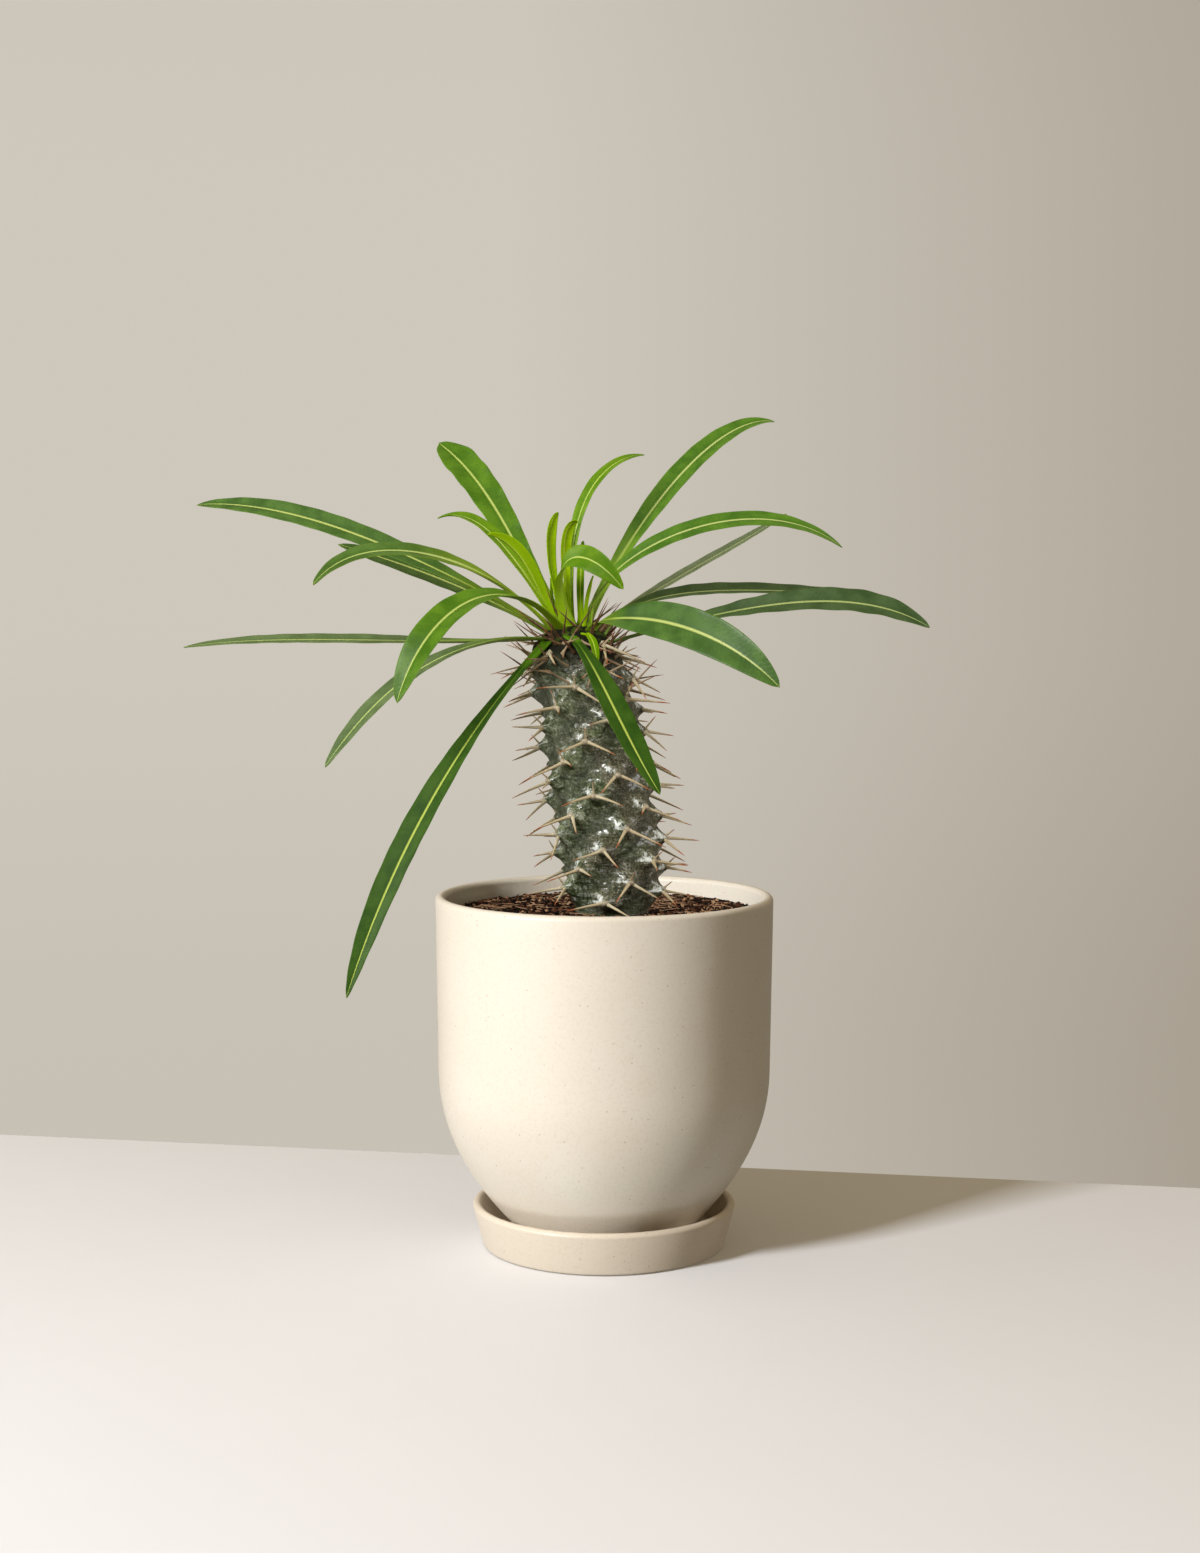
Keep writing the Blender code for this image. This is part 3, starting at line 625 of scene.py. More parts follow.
class AgeAndLight(Enum):
    """How old a leaf is, which sets its colours; the shaded leaf is a darker copy, painted shade, and the lit
    pale leaf a lighter copy, painted light on a leaf that faces away from the lamps.
    """

    DEEP = Foliage("deep_leaf", (0.042, 0.115, 0.014), (0.092, 0.205, 0.032), (0.6, 0.7, 0.2),
                   (0.24, 0.4, 0.006), (0.14, 0.24, 0.05), roughness=0.34, blemishes=0.15, gloss=0.35)
    DARK = Foliage("dark_leaf", (0.026, 0.076, 0.007), (0.054, 0.13, 0.012), (0.56, 0.68, 0.13),
                   (0.1, 0.24, 0.008), (0.1, 0.18, 0.04), roughness=0.42, blemishes=0.1, stalk_share=0.1,
                   gloss=0.07)
    FULL = Foliage("full_leaf", (0.055, 0.155, 0.004), (0.115, 0.255, 0.012), (0.56, 0.68, 0.18),
                   (0.25, 0.42, 0.003), (0.17, 0.3, 0.03), roughness=0.32)
    SLEEK = Foliage("sleek_leaf", (0.046, 0.15, 0.005), (0.11, 0.26, 0.015), (0.62, 0.72, 0.26),
                    (0.25, 0.42, 0.005), (0.17, 0.3, 0.03), roughness=0.36, gloss=0.4)
    FRESH = Foliage("fresh_leaf", (0.085, 0.215, 0.003), (0.18, 0.335, 0.01), (0.56, 0.7, 0.16),
                    (0.28, 0.46, 0.002), (0.27, 0.42, 0.012), roughness=0.36, gloss=0.15, stalk_share=0.5,
                    rib_half=0.38)
    LONG = Foliage("long_leaf", (0.05, 0.125, 0.012), (0.105, 0.215, 0.036), (0.56, 0.68, 0.22),
                   (0.32, 0.48, 0.008), (0.2, 0.32, 0.04), roughness=0.36, blemishes=0.1, gloss=0.3,
                   stalk_share=0.62)
    DULL = Foliage("dull_leaf", (0.075, 0.135, 0.04), (0.14, 0.22, 0.08), (0.5, 0.62, 0.2),
                   (0.22, 0.36, 0.03), (0.28, 0.37, 0.16), roughness=0.38, blemishes=0.15, gloss=0.45)
    # A lighter copy for a leaf that faces away from the lamps: painted light.
    LIT_PALE = Foliage("lit_pale_leaf", (0.15, 0.22, 0.11), (0.25, 0.34, 0.19), (0.56, 0.68, 0.3),
                   (0.28, 0.42, 0.03), (0.45, 0.56, 0.33), roughness=0.36, blemishes=0.05, gloss=0.5)
    SHADED = Foliage("shaded_leaf", (0.035, 0.078, 0.02), (0.075, 0.135, 0.045), (0.46, 0.56, 0.2),
                     (0.15, 0.26, 0.03), (0.11, 0.17, 0.06), roughness=0.38, blemishes=0.25, gloss=0.3)
    YOUNG = Foliage("young_leaf", (0.13, 0.29, 0.001), (0.26, 0.45, 0.003), (0.5, 0.66, 0.08),
                    (0.28, 0.47, 0.002), (0.3, 0.49, 0.004), roughness=0.4, blemishes=0.02, gloss=0.05)
    SHOOT = Foliage("shoot_leaf", (0.27, 0.46, 0.002), (0.44, 0.66, 0.008), (0.6, 0.76, 0.08),
                    (0.34, 0.54, 0.003), (0.44, 0.64, 0.01), roughness=0.4, blemishes=0.02, gloss=0.05)


# Planter

class Turned:
    """A glazed body turned round the planter's axis."""

    COLUMNS = 256
    SHARP = 50.0                        # degrees above which an edge stays sharp

    def outline(self) -> list[Pair]:
        """List the radii and heights of its section."""
        raise NotImplementedError

    def turned(self, name: str, glaze: Glaze, joined: bool) -> bpy.types.Object:
        """Turn the section.

        Args:
            name: The object's name.
            glaze: Its glaze.
            joined: Whether the section is a closed loop.

        Returns:
            The turned object.
        """
        body = Body()
        body.add_rings(turn_section(np.array(self.outline()), self.COLUMNS), joined)
        return body.make(name, glaze.material(), self.SHARP)


@dataclass
class Saucer(Turned):
    """The saucer, with a rounded rim that widens upwards."""

    rim_radius: float = 58.8
    foot_radius: float = 54.4
    height: float = 19.5
    wall: float = 4.0
    floor: float = 5.0
    edge: float = 1.6
    fillet: float = 2.5
    middle: float = 0.5

    def outline(self) -> list[Pair]:
        """List the section from the middle of the floor, over the rim, to the underside."""
        half = self.wall / 2.0
        rim = arc((self.rim_radius - half, self.height - half), half, 180, 0, 14)
        inner = self.foot_radius - self.wall
        fillet = arc((inner - self.fillet, self.floor + self.fillet), self.fillet, 270, 345, 6)
        edge = arc((self.foot_radius - self.edge, self.edge), self.edge, 0, -90, 6)
        return [(self.middle, self.floor), *fillet, *rim, *edge, (self.middle, 0.0)]

    def build(self) -> bpy.types.Object:
        """Make the saucer and dress it."""
        return settle(self.turned("saucer_glazed", WARM_CREAM, joined=False), "saucer_glaze", "saucer")


@dataclass
class Planter(Turned):
    """The planter: a wall that narrows a little, then curves in to a flat foot."""

    rim_radius: float = 75.0
    rim_height: float = 157.3
    wall: float = 4.5
    waist: Pair = (73.9, 78.4)
    belly: tuple[Pair, Pair] = ((73.5, 50.2), (58.3, 26.6))
    foot: Pair = (36.0, 5.3)
    base: float = 6.0
    drain: float = 6.0
    foot_edge: float = 0.8

    def outer(self) -> list[Pair]:
        """List the outer wall, from below the rim to the foot."""
        top = (self.rim_radius, self.rim_height - self.wall / 2.0)
        wall = np.linspace(top, self.waist, 12, endpoint=False)
        curve = bezier((self.waist, *self.belly, self.foot), np.linspace(0.0, 1.0, 28))
        return [*map(tuple, wall), *map(tuple, curve)]

    def hollow(self, clearance: float = 0.0) -> list[Pair]:
        """List the hollow's side from its top down to its floor.

        Args:
            clearance: How much further in than the wall it lies.

        Returns:
            Its radii and heights.
        """
        outer = np.array(self.outer())
        along = unit(np.gradient(outer, axis=0))
        side = outer + np.stack((along[:, 1], -along[:, 0]), 1) * (self.wall + clearance)
        floor = self.foot[1] + self.base + clearance
        high = side[side[:, 1] > floor]
        low = side[len(high)]
        share = (high[-1, 1] - floor) / (high[-1, 1] - low[1])
        return [*map(tuple, high), (high[-1, 0] + (low[0] - high[-1, 0]) * share, floor)]

    def outline(self) -> list[Pair]:
        """List the section over the rim, down the wall, under the foot and up the hollow."""
        half = self.wall / 2.0
        rim = arc((self.rim_radius - half, self.rim_height - half), half, 172, 8, 14)
        outer = self.outer()
        outer[-1] = (self.foot[0] + self.foot_edge * 0.4, self.foot[1] + self.foot_edge * 0.4)
        foot = [(self.foot[0] - self.foot_edge, self.foot[1])]
        drain = [(self.drain, self.foot[1]), (self.drain, self.foot[1] + self.base)]
        return [*rim, *outer, *foot, *drain, *reversed(self.hollow())]

    def build(self) -> bpy.types.Object:
        """Make the planter and dress it."""
        return settle(self.turned("planter_glazed", CREAM, joined=True), "pot_glaze", "pot")


@dataclass
class Soil:
    """The soil in the planter, with bark crumbs and coir fibres on top."""

    planter: Planter
    level: float = 149.0
    uneven: float = 0.7
    rough: float = 0.5
    columns: int = 168
    rings: int = 52
    middle: float = 0.6                 # radius of its innermost ring
    shoulder: float = 2.0               # how far under its level the side begins
    crumbs: int = 5200
    crumb: Pair = (0.4, 1.9)
    crumb_jag: Pair = (0.7, 1.15)       # how far each corner stands out, as a share of the size
    crumb_breadth: Pair = (0.45, 0.9)
    crumb_depth: Pair = (0.25, 0.55)
    crumb_lift: Pair = (0.0, 0.3)
    crumb_tilt: float = 0.45
    fibres: int = 360
    fibre: Pair = (2.5, 11.0)
    fibre_bend: float = 0.9
    fibre_lift: Pair = (0.6, 1.5)
    fibre_slope: float = 0.07
    fibre_radius: Pair = (0.09, 0.2)
    fibre_tint: Pair = (0.75, 1.15)
    fibre_places: int = 7
    clear: float = 1.0                  # between the litter and the planter's wall
    stem_place: float = 3.5             # where the stem stands on X, and how far it is kept clear
    stem_clear: float = 16.0
    seed: int = 5

    def top(self, x: float, y: float) -> float:
        """Give the height of the soil's surface over a place."""
        broad = self.uneven * noise.noise(Vector((x, y, self.level)) * 0.06)
        fine = self.rough * noise.noise(Vector((x, y, 0.0)) * 0.45)
        return self.level + broad + fine

    def build(self) -> list[bpy.types.Object]:
        """Make the soil, its crumbs and its fibres."""
        side = self.planter.hollow(GAP)
        radii = np.linspace(self.middle, side[0][0], self.rings)
        flat = turn_section(np.stack((radii, 0.0 * radii), 1), self.columns)
        surface = [[(x, y, self.top(x, y)) for x, y, _ in ring] for ring in flat]
        below = [place for place in side if place[1] < self.level - self.shoulder]
        body = Body()
        # The bed takes the lowest tint all over: near-black earth that is partly painted shade between the
        # crumbs.
        body.add_rings(np.concatenate((surface, turn_section(np.array(below), self.columns))), tint=0.0)
        bed = settle(body.make("soil_bed", Earth("soil_bed").material()), "soil", "soil")
        draw = random.Random(self.seed)
        return [bed, settle(self.scatter(draw), "soil"), settle(self.strew(draw), "soil")]

    def spot(self, draw: random.Random, reach: float) -> Pair:
        """Draw a place on the soil beside the stem.

        Args:
            draw: Where the random numbers come from.
            reach: How far the thing placed there reaches.

        Returns:
            The place.
        """
        while True:
            edge = self.planter.rim_radius - self.planter.wall - self.clear - reach
            radius = edge * math.sqrt(draw.random())
            angle = draw.uniform(0.0, math.tau)
            x, y = radius * math.cos(angle), radius * math.sin(angle)
            if math.hypot(x - self.stem_place, y) > self.stem_clear:
                return x, y

    def scatter(self, draw: random.Random) -> bpy.types.Object:
        """Scatter flat angular crumbs of bark over the soil."""
        ball = [(0, 0, 1), (0, 0, -1)]
        for level, shift in ((0.45, 0.0), (-0.45, 36.0)):
            ball += [(x, y, level) for x, y in arc((0, 0), 0.9, shift, shift + 288, 4)]
        ball = np.array(ball, float)
        faces = []
        for side in range(5):
            beside = (side + 1) % 5
            faces += [[0, 2 + side, 2 + beside], [1, 7 + beside, 7 + side],
                      [2 + side, 7 + side, 2 + beside], [2 + beside, 7 + side, 7 + beside]]
        body = Body()
        for _ in range(self.crumbs):
            size = self.crumb[0] + (self.crumb[1] - self.crumb[0]) * draw.random() ** 2.6
            x, y = self.spot(draw, size)
            jag = np.array([[draw.uniform(*self.crumb_jag)] for _ in ball])
            sides = (size, size * draw.uniform(*self.crumb_breadth), size * draw.uniform(*self.crumb_depth))
            shape = ball * jag * sides
            turn = Matrix.Rotation(draw.uniform(0.0, math.tau), 3, "Z")
            for axis in "XY":
                turn = turn @ Matrix.Rotation(draw.gauss(0.0, self.crumb_tilt), 3, axis)
            place = (x, y, self.top(x, y) + size * draw.uniform(*self.crumb_lift))
            body.add(shape @ np.array(turn).T + place, faces, tint=draw.random() ** 1.3 * 1.1)
        return body.make("bark_crumbs", Earth("bark_crumbs").material(), smooth=False)

    def strew(self, draw: random.Random) -> bpy.types.Object:
        """Strew thin bent coir fibres over the crumbs."""
        body = Body()
        for _ in range(self.fibres):
            length = draw.uniform(*self.fibre)
            x, y = self.spot(draw, length / 2.0)
            heading = draw.uniform(0.0, math.tau)
            share = np.linspace(-0.5, 0.5, self.fibre_places)
            turn = heading + draw.gauss(0.0, self.fibre_bend) * share
            height = self.top(x, y) + draw.uniform(*self.fibre_lift)
            height = height + length * draw.gauss(0.0, self.fibre_slope) * share
            path = np.stack((x + length * share * np.cos(turn), y + length * share * np.sin(turn), height), 1)
            radius = np.full(self.fibre_places, draw.uniform(*self.fibre_radius))
            body.add_rings(tube(path, radius, 4), tint=draw.uniform(*self.fibre_tint))
        return body.make("coir_fibres", Earth("coir_fibres").material())


# Stem

@dataclass
class Stem:
    """The leaning stem: its tubercles in one spiral, its crown and its skin."""

    lean: tuple[Pair, ...] = ((149.0, 3.5), (178.0, 3.1), (199.0, -0.7), (241.0, -7.1), (257.0, -11.3),
                              (265.0, -13.5))
    radius: tuple[Pair, ...] = ((149.0, 20.5), (160.0, 22.5), (178.0, 24.5), (199.0, 24.3), (241.0, 22.9),
                                (262.0, 22.9))
    soil_level: float = 149.0
    root_end: float = 114.0
    root_radius: Pair = (9.0, 17.0)
    top: float = 276.5
    fall: float = 11.0
    spread: float = 19.0
    shoulder: float = 19.5              # distance from the crown's centre at which its dome begins
    first: Pair = (156.0, 262.0)        # height and azimuth of the lowest tubercle
    step: Pair = (1.81, -138.46)        # from each tubercle to the next
    last: float = 270.0
    raise_by: float = 4.4
    span: Pair = (5.2, 5.6)
    fades: tuple[float, float, float, float] = (150.5, 155.0, 256.0, 265.0)
    knob: float = 1.2                   # what the scene adds to each tubercle: a knob on a peak
    knob_span: Pair = (1.75, 1.75)
    peak: float = 1.3
    peak_span: Pair = (2.9, 2.7)
    wax_span: Pair = (3.1, 2.3)         # wax with painted highlight lies above and left of each knob, seen from outside, and in streaks low on the stem
    wax_shift: Pair = (-2.6, 2.3)
    streak_span: Pair = (5.5, 0.8)
    streak_shift: Pair = (-5.0, 0.2)
    streak_fades: Pair = (165.0, 222.0)
    wrinkle: float = 0.4
    wrinkle_grain: float = 0.16         # how fast wrinkles change in a millimetre
    wrinkle_lie: float = 2.2            # how much faster upwards
    brown_side: float = -40.0           # azimuth of the browner side
    columns: int = 336
    rows: int = 210
    dome_rows: int = 22

    def centre(self, height: np.ndarray | float) -> np.ndarray | float:
        """Give the sideways lean at a height."""
        return read_table(self.lean, height)

    def crown_height(self, distance: np.ndarray | float) -> np.ndarray | float:
        """Give the height of the crown's dome at a distance from its centre."""
        return self.top - self.fall * (distance / self.spread) ** 3

    def crown_radius(self, height: np.ndarray) -> np.ndarray:
        """Give the radius of the crown's dome at a height."""
        return self.spread * (np.maximum(self.top - height, 0.0) / self.fall) ** (1.0 / 3.0)

    def tubercles(self) -> list[Pair]:
        """List the height and azimuth of each tubercle, from the soil up."""
        height, azimuth = self.first
        places = []
        while height < self.last:
            places.append((height, math.radians(azimuth)))
            height += self.step[0]
            azimuth += self.step[1]
        return places

    def relief(self, height: np.ndarray, azimuth: np.ndarray, radius: np.ndarray,
               span: Pair, rise: float, shift: Pair = (0.0, 0.0)) -> np.ndarray:
        """Add up one bump for each tubercle.

        Args:
            height: Heights of the places.
            azimuth: Their azimuths in radians.
            radius: The stem's radius there.
            span: Half width and half height of a bump.
            rise: How far its middle rises.
            shift: How far it lies aside of the tubercle's middle, and above it.

        Returns:
            The rise at each place.
        """
        raised = np.zeros(np.broadcast(height, azimuth).shape)
        for other, direction in self.tubercles():
            aside = ((direction - azimuth + math.pi) % math.tau - math.pi) * radius + shift[0]
            raised += rise * np.exp(-(aside / span[0]) ** 2 - ((height - other - shift[1]) / span[1]) ** 2)
        low, lifted, fading, high = self.fades
        return raised * smoothstep(low, lifted, height) * (1.0 - smoothstep(fading, high, height))

    def skin(self, height: np.ndarray, azimuth: np.ndarray) -> tuple[np.ndarray, np.ndarray]:
        """Work out the radius of the skin, as the part has it.

        Args:
            height: Heights of the places.
            azimuth: Their azimuths in radians.

        Returns:
            The radius, and how much of it the tubercles add.
        """
        valley = read_table(self.radius, height) - self.raise_by
        raised = self.relief(height, azimuth, valley, self.span, self.raise_by)
        depth = self.soil_level - self.root_end
        share = (np.minimum(height, self.soil_level + 1.0) - self.root_end) / depth
        root = self.root_radius[0] + (self.root_radius[1] - self.root_radius[0]) * share
        above = np.minimum(valley, self.crown_radius(height)) + raised
        return np.where(height < self.fades[0], root, above), raised

    def point(self, height: float, azimuth: float) -> Vector:
        """Give a point of the skin as the part has it."""
        radius = float(self.skin(np.array([height]), np.array([azimuth]))[0][0])
        across = float(self.centre(height)) + radius * math.cos(azimuth)
        return Vector((across, radius * math.sin(azimuth), height))

    def wrinkles(self, height: np.ndarray, azimuth: np.ndarray, radius: np.ndarray) -> np.ndarray:
        """Work out fine wrinkles, which fade out at the soil and on the crown.

        Args:
            height: Heights of the places.
            azimuth: Their azimuths in radians.
            radius: The stem's radius there.

        Returns:
            The rise at each place.
        """
        places = np.stack((radius * np.cos(azimuth), radius * np.sin(azimuth), height * self.wrinkle_lie), -1)
        places = places.reshape(-1, 3) * self.wrinkle_grain
        rough = np.reshape([noise.fractal(Vector(place), 1.0, 2.0, 4) for place in places], height.shape)
        rough = rough * smoothstep(self.soil_level, self.soil_level + 4.0, height)
        return self.wrinkle * rough * smoothstep(self.top, self.top - 9.0, height)

    def build(self, surface: bpy.types.Material) -> bpy.types.Object:
        """Make the skin, with finer wrinkles and a small knob on each tubercle."""
        side = np.linspace(self.fades[0], float(self.crown_height(self.shoulder)), self.rows)
        dome = self.crown_height(np.linspace(self.shoulder - 0.6, 0.4, self.dome_rows))
        heights = np.concatenate(([self.root_end, self.soil_level - 3.0], side, dome))
        turn = np.linspace(0.0, math.tau, self.columns, endpoint=False)
        height, azimuth = np.meshgrid(heights, turn, indexing="ij")
        radius, raised = self.skin(height, azimuth)
        outer = read_table(self.radius, height)
        knob = self.relief(height, azimuth, outer, self.knob_span, 1.0)
        # Wax and painted highlight: a patch above and left of each knob, seen from outside, where the
        # upper-left lamps would glint, and streaks low on the stem.
        wax = self.relief(height, azimuth, outer, self.wax_span, 1.0, self.wax_shift)
        streak = self.relief(height, azimuth, outer, self.streak_span, 1.0, self.streak_shift)
        wax = wax + streak * (1.0 - smoothstep(*self.streak_fades, height))
        radius = radius + self.knob * knob + self.relief(height, azimuth, outer, self.peak_span, self.peak)
        radius = radius + self.wrinkles(height, azimuth, outer - self.raise_by)
        across = self.centre(height) + radius * np.cos(azimuth)
        rings = np.stack((across, radius * np.sin(azimuth), height), -1)
        body = Body()
        body.add_rings(
            rings, raised=raised / self.raise_by, aside=np.cos(azimuth - math.radians(self.brown_side)),
            wax=wax, knob=knob, height=(height - self.soil_level) / (self.top - self.soil_level))
        return settle(body.make("stem_skin", surface), "stem_bark", "stem")


@dataclass
class Spines:
    """The spines on the stem: each is turned until it clears the leaves and the soil."""

    stem: Stem
    soil_clearance: float = 1.6
    clearance: float = 0.45
    part_radius: float = 0.8
    fine_limits: Pair = (0.1, 0.4)      # clearance and radius for spines that the part doesn't have
    long_spine: Pair = (15.5, 20.5)
    long_spread: Pair = (38.0, 60.0)
    long_fall: Pair = (0.0, 38.0)
    long_radius: float = 0.86
    short_spine: Pair = (6.0, 9.0)
    short_lean: Pair = (35.0, 60.0)
    short_share: float = 0.6
    short_radius: float = 0.66
    crown_length: Pair = (9.0, 13.0)
    crown_places: int = 22
    crown_first: float = 20.0
    crown_distances: tuple[float, ...] = (12.0, 14.5, 17.0, 19.0)
    crown_lean: Pair = (25.0, 60.0)
    crown_splay: float = 18.0
    crown_radius: float = 0.62
    bristles: int = 32
    bristle_length: Pair = (12.0, 22.0)
    bristle_distances: Pair = (4.0, 19.5)
    bristle_lean: Pair = (8.0, 30.0)
    bristle_flare: float = 2.0          # degrees that it leans further out for each millimetre
    bristle_radius: float = 0.5
    collar: int = 58
    collar_length: Pair = (12.0, 22.0)
    collar_heights: Pair = (246.0, 275.0)
    collar_first: float = 35.0
    collar_out: Pair = (0.4, 1.0)       # how much of its direction points outwards, aside and up
    collar_aside: Pair = (0.15, 0.9)
    collar_up: Pair = (-0.4, 0.75)
    collar_radius: float = 0.64
    turns: tuple[int, ...] = (0, 14, -14, 28, -28, 42, -42, 60, -60)
    shrinks: tuple[float, ...] = (1.0, 0.75, 0.5)
    seed: int = 11
    look_seed: int = 23
    sides: int = 8
    stations: int = 9
    sunk: float = 1.2
    sag: float = 0.08                   # how far it bends, as a share of its length
    blunt: float = 0.1                  # radius of its tip, as a share of its foot's
    swelling: Pair = (0.75, 0.11)       # how much thicker its foot is, and over what share of it
    trees: list[BVHTree] = field(default_factory=list)

    def __post_init__(self) -> None:
        """Make a search tree over each leaf of the part."""
        for name, node in sorted(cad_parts.items()):
            if name.startswith("leaf_"):
                corners = [vertex.co for vertex in node.data.vertices]
                sides = [tuple(face.vertices) for face in node.data.polygons]
                self.trees.append(BVHTree.FromPolygons(corners, sides))
        self.look = random.Random(self.look_seed)

    def is_clear(self, root: Vector, direction: Vector, length: float) -> bool:
        """Tell whether a straight spine keeps its distance from every leaf and from the soil."""
        steps = int(length)
        for step in range(steps + 1):
            share = step / steps
            place = root + direction * length * share
            if place.z < self.stem.soil_level + self.soil_clearance:
                return False
            reach = (self.part_radius * (1.0 - share) + self.clearance) * MM
            if any(tree.find_nearest(place * MM, reach)[0] for tree in self.trees):
                return False
        return True

    def plant(self, body: Body, root: Vector, outward: Vector, direction: Vector, length: float,
              thick: float) -> None:
        """Add a spine in the first clear direction near the wanted one.

        Args:
            body: What it is added to.
            root: Where it leaves the skin.
            outward: The direction out of the stem there.
            direction: Where it should point.
            length: How long it should be.
            thick: Its radius near the skin.
        """
        for shrink in self.shrinks:
            for turn in self.turns:
                turned = Matrix.Rotation(math.radians(turn), 3, outward) @ direction
                if self.is_clear(root, turned, length * shrink):
                    self.grow(body, root, turned, length * shrink, thick)
                    return

    def grow(self, body: Body, root: Vector, direction: Vector, length: float, thick: float) -> None:
        """Add one tapered spine with a swollen foot and a slight bend.

        Args:
            body: What it is added to.
            root: Where it leaves the skin.
            direction: Where it points.
            length: How far it stands out.
            thick: Its radius near the skin.
        """
        share = np.linspace(0.0, 1.0, self.stations) ** 1.15
        sag = Vector((self.look.gauss(0.0, 0.5), self.look.gauss(0.0, 0.5), self.look.gauss(-0.25, 0.6)))
        sag = (sag - direction * sag.dot(direction)) * self.sag * length
        start, way = np.array(root - direction * self.sunk), np.array(direction) * (length + self.sunk)
        path = start + way * share[:, None] + np.array(sag) * (share[:, None] ** 2 - share[:, None])
        taper = self.blunt + (1.0 - self.blunt) * (1.0 - share) ** 0.72
        foot = 1.0 + self.swelling[0] * np.exp(-(share / self.swelling[1]) ** 2)
        rings = tube(path, thick * taper * foot, self.sides)
        body.add_rings(rings, share=share[:, None], tint=self.look.random())

    def tubercle_spines(self, body: Body, draw: random.Random) -> None:
        """Add two long spreading spines and a short upright one to each tubercle."""
        for height, azimuth in self.stem.tubercles():
            outward = outwards(azimuth)
            aside = UP.cross(outward)
            root = self.stem.point(height, azimuth)
            for side in (-1.0, 1.0):
                spread = math.radians(draw.uniform(*self.long_spread))
                fall = math.radians(draw.uniform(*self.long_fall))
                along = aside * side * math.cos(fall) - UP * math.sin(fall)
                direction = outward * math.cos(spread) + along * math.sin(spread)
                self.plant(body, root, outward, direction, draw.uniform(*self.long_spine), self.long_radius)
            lean = math.radians(draw.uniform(*self.short_lean))
            tip = outward * math.cos(lean) + UP * math.sin(lean)
            length = draw.uniform(*self.short_spine)
            if draw.random() < self.short_share:
                self.plant(body, root, outward, tip, length, self.short_radius)

    def crown_spine(self, body: Body, azimuth: float, distance: float, lean: float, splay: float,
                    length: float, thick: float) -> None:
        """Add an upright spine to the crown's dome.

        Args:
            body: What it is added to.
            azimuth: Direction of its foot from the crown's centre, in degrees.
            distance: How far from there its foot stands.
            lean: How far it leans outwards, in degrees.
            splay: How far it then turns sideways, in radians.
            length: How long it should be.
            thick: Its radius near the skin.
        """
        outward, lean = outwards(math.radians(azimuth)), math.radians(lean)
        centre = Vector((float(self.stem.centre(self.stem.top)), 0.0, 0.0))
        root = centre + outward * distance + UP * float(self.stem.crown_height(distance))
        direction = UP * math.cos(lean) + outward * math.sin(lean)
        direction = Matrix.Rotation(splay, 3, outward) @ direction
        self.plant(body, root, outward, direction, length, thick)

    def crown_pairs(self, body: Body, draw: random.Random) -> None:
        """Add pairs of spines between the feet of the leaves."""
        for number in range(self.crown_places):
            azimuth = self.crown_first + number * self.stem.step[1]
            distance = self.crown_distances[number % len(self.crown_distances)]
            for side in (-1.0, 1.0):
                self.crown_spine(body, azimuth, distance, draw.uniform(*self.crown_lean),
                                 math.radians(self.crown_splay * side), draw.uniform(*self.crown_length),
                                 self.crown_radius)

    def crown_bristles(self, body: Body) -> None:
        """Add thin dark young spines close round the feet of the leaves."""
        self.clearance, self.part_radius = self.fine_limits
        for number in range(self.bristles):
            distance = self.look.uniform(*self.bristle_distances)
            lean = self.look.uniform(*self.bristle_lean) + distance * self.bristle_flare
            self.crown_spine(body, number * self.stem.step[1], distance, lean, self.look.uniform(-1.0, 1.0),
                             self.look.uniform(*self.bristle_length), self.bristle_radius)

    def crown_collar(self, body: Body) -> None:
        """Add spines that spread from the stem's shoulder, below the leaves."""
        for number in range(self.collar):
            height = self.look.uniform(*self.collar_heights)
            azimuth = math.radians(number * self.stem.step[1] + self.collar_first)
            outward = outwards(azimuth)
            aside = UP.cross(outward) * (1.0 if number % 2 else -1.0)
            direction = outward * self.look.uniform(*self.collar_out)
            direction = direction + aside * self.look.uniform(*self.collar_aside)
            direction = (direction + UP * self.look.uniform(*self.collar_up)).normalized()
            self.plant(body, self.stem.point(height, azimuth), outward, direction,
                       self.look.uniform(*self.collar_length), self.collar_radius)

    def build(self) -> list[bpy.types.Object]:
        """Make the tan spines of the stem, the brown ones of the crown and the dun ones between."""
        old, new, between = Body(), Body(), Body()
        draw = random.Random(self.seed)
        self.tubercle_spines(old, draw)
        self.crown_pairs(new, draw)
        self.crown_bristles(new)
        self.crown_collar(between)
        groups = (("stem_spines", old, OLD_THORN), ("crown_spines", new, NEW_THORN),
                  ("collar_spines", between, COLLAR_THORN))
        return [settle(body.make(name, thorn.material()), "stem_bark", "stem")
                for name, body, thorn in groups]


# Leaves

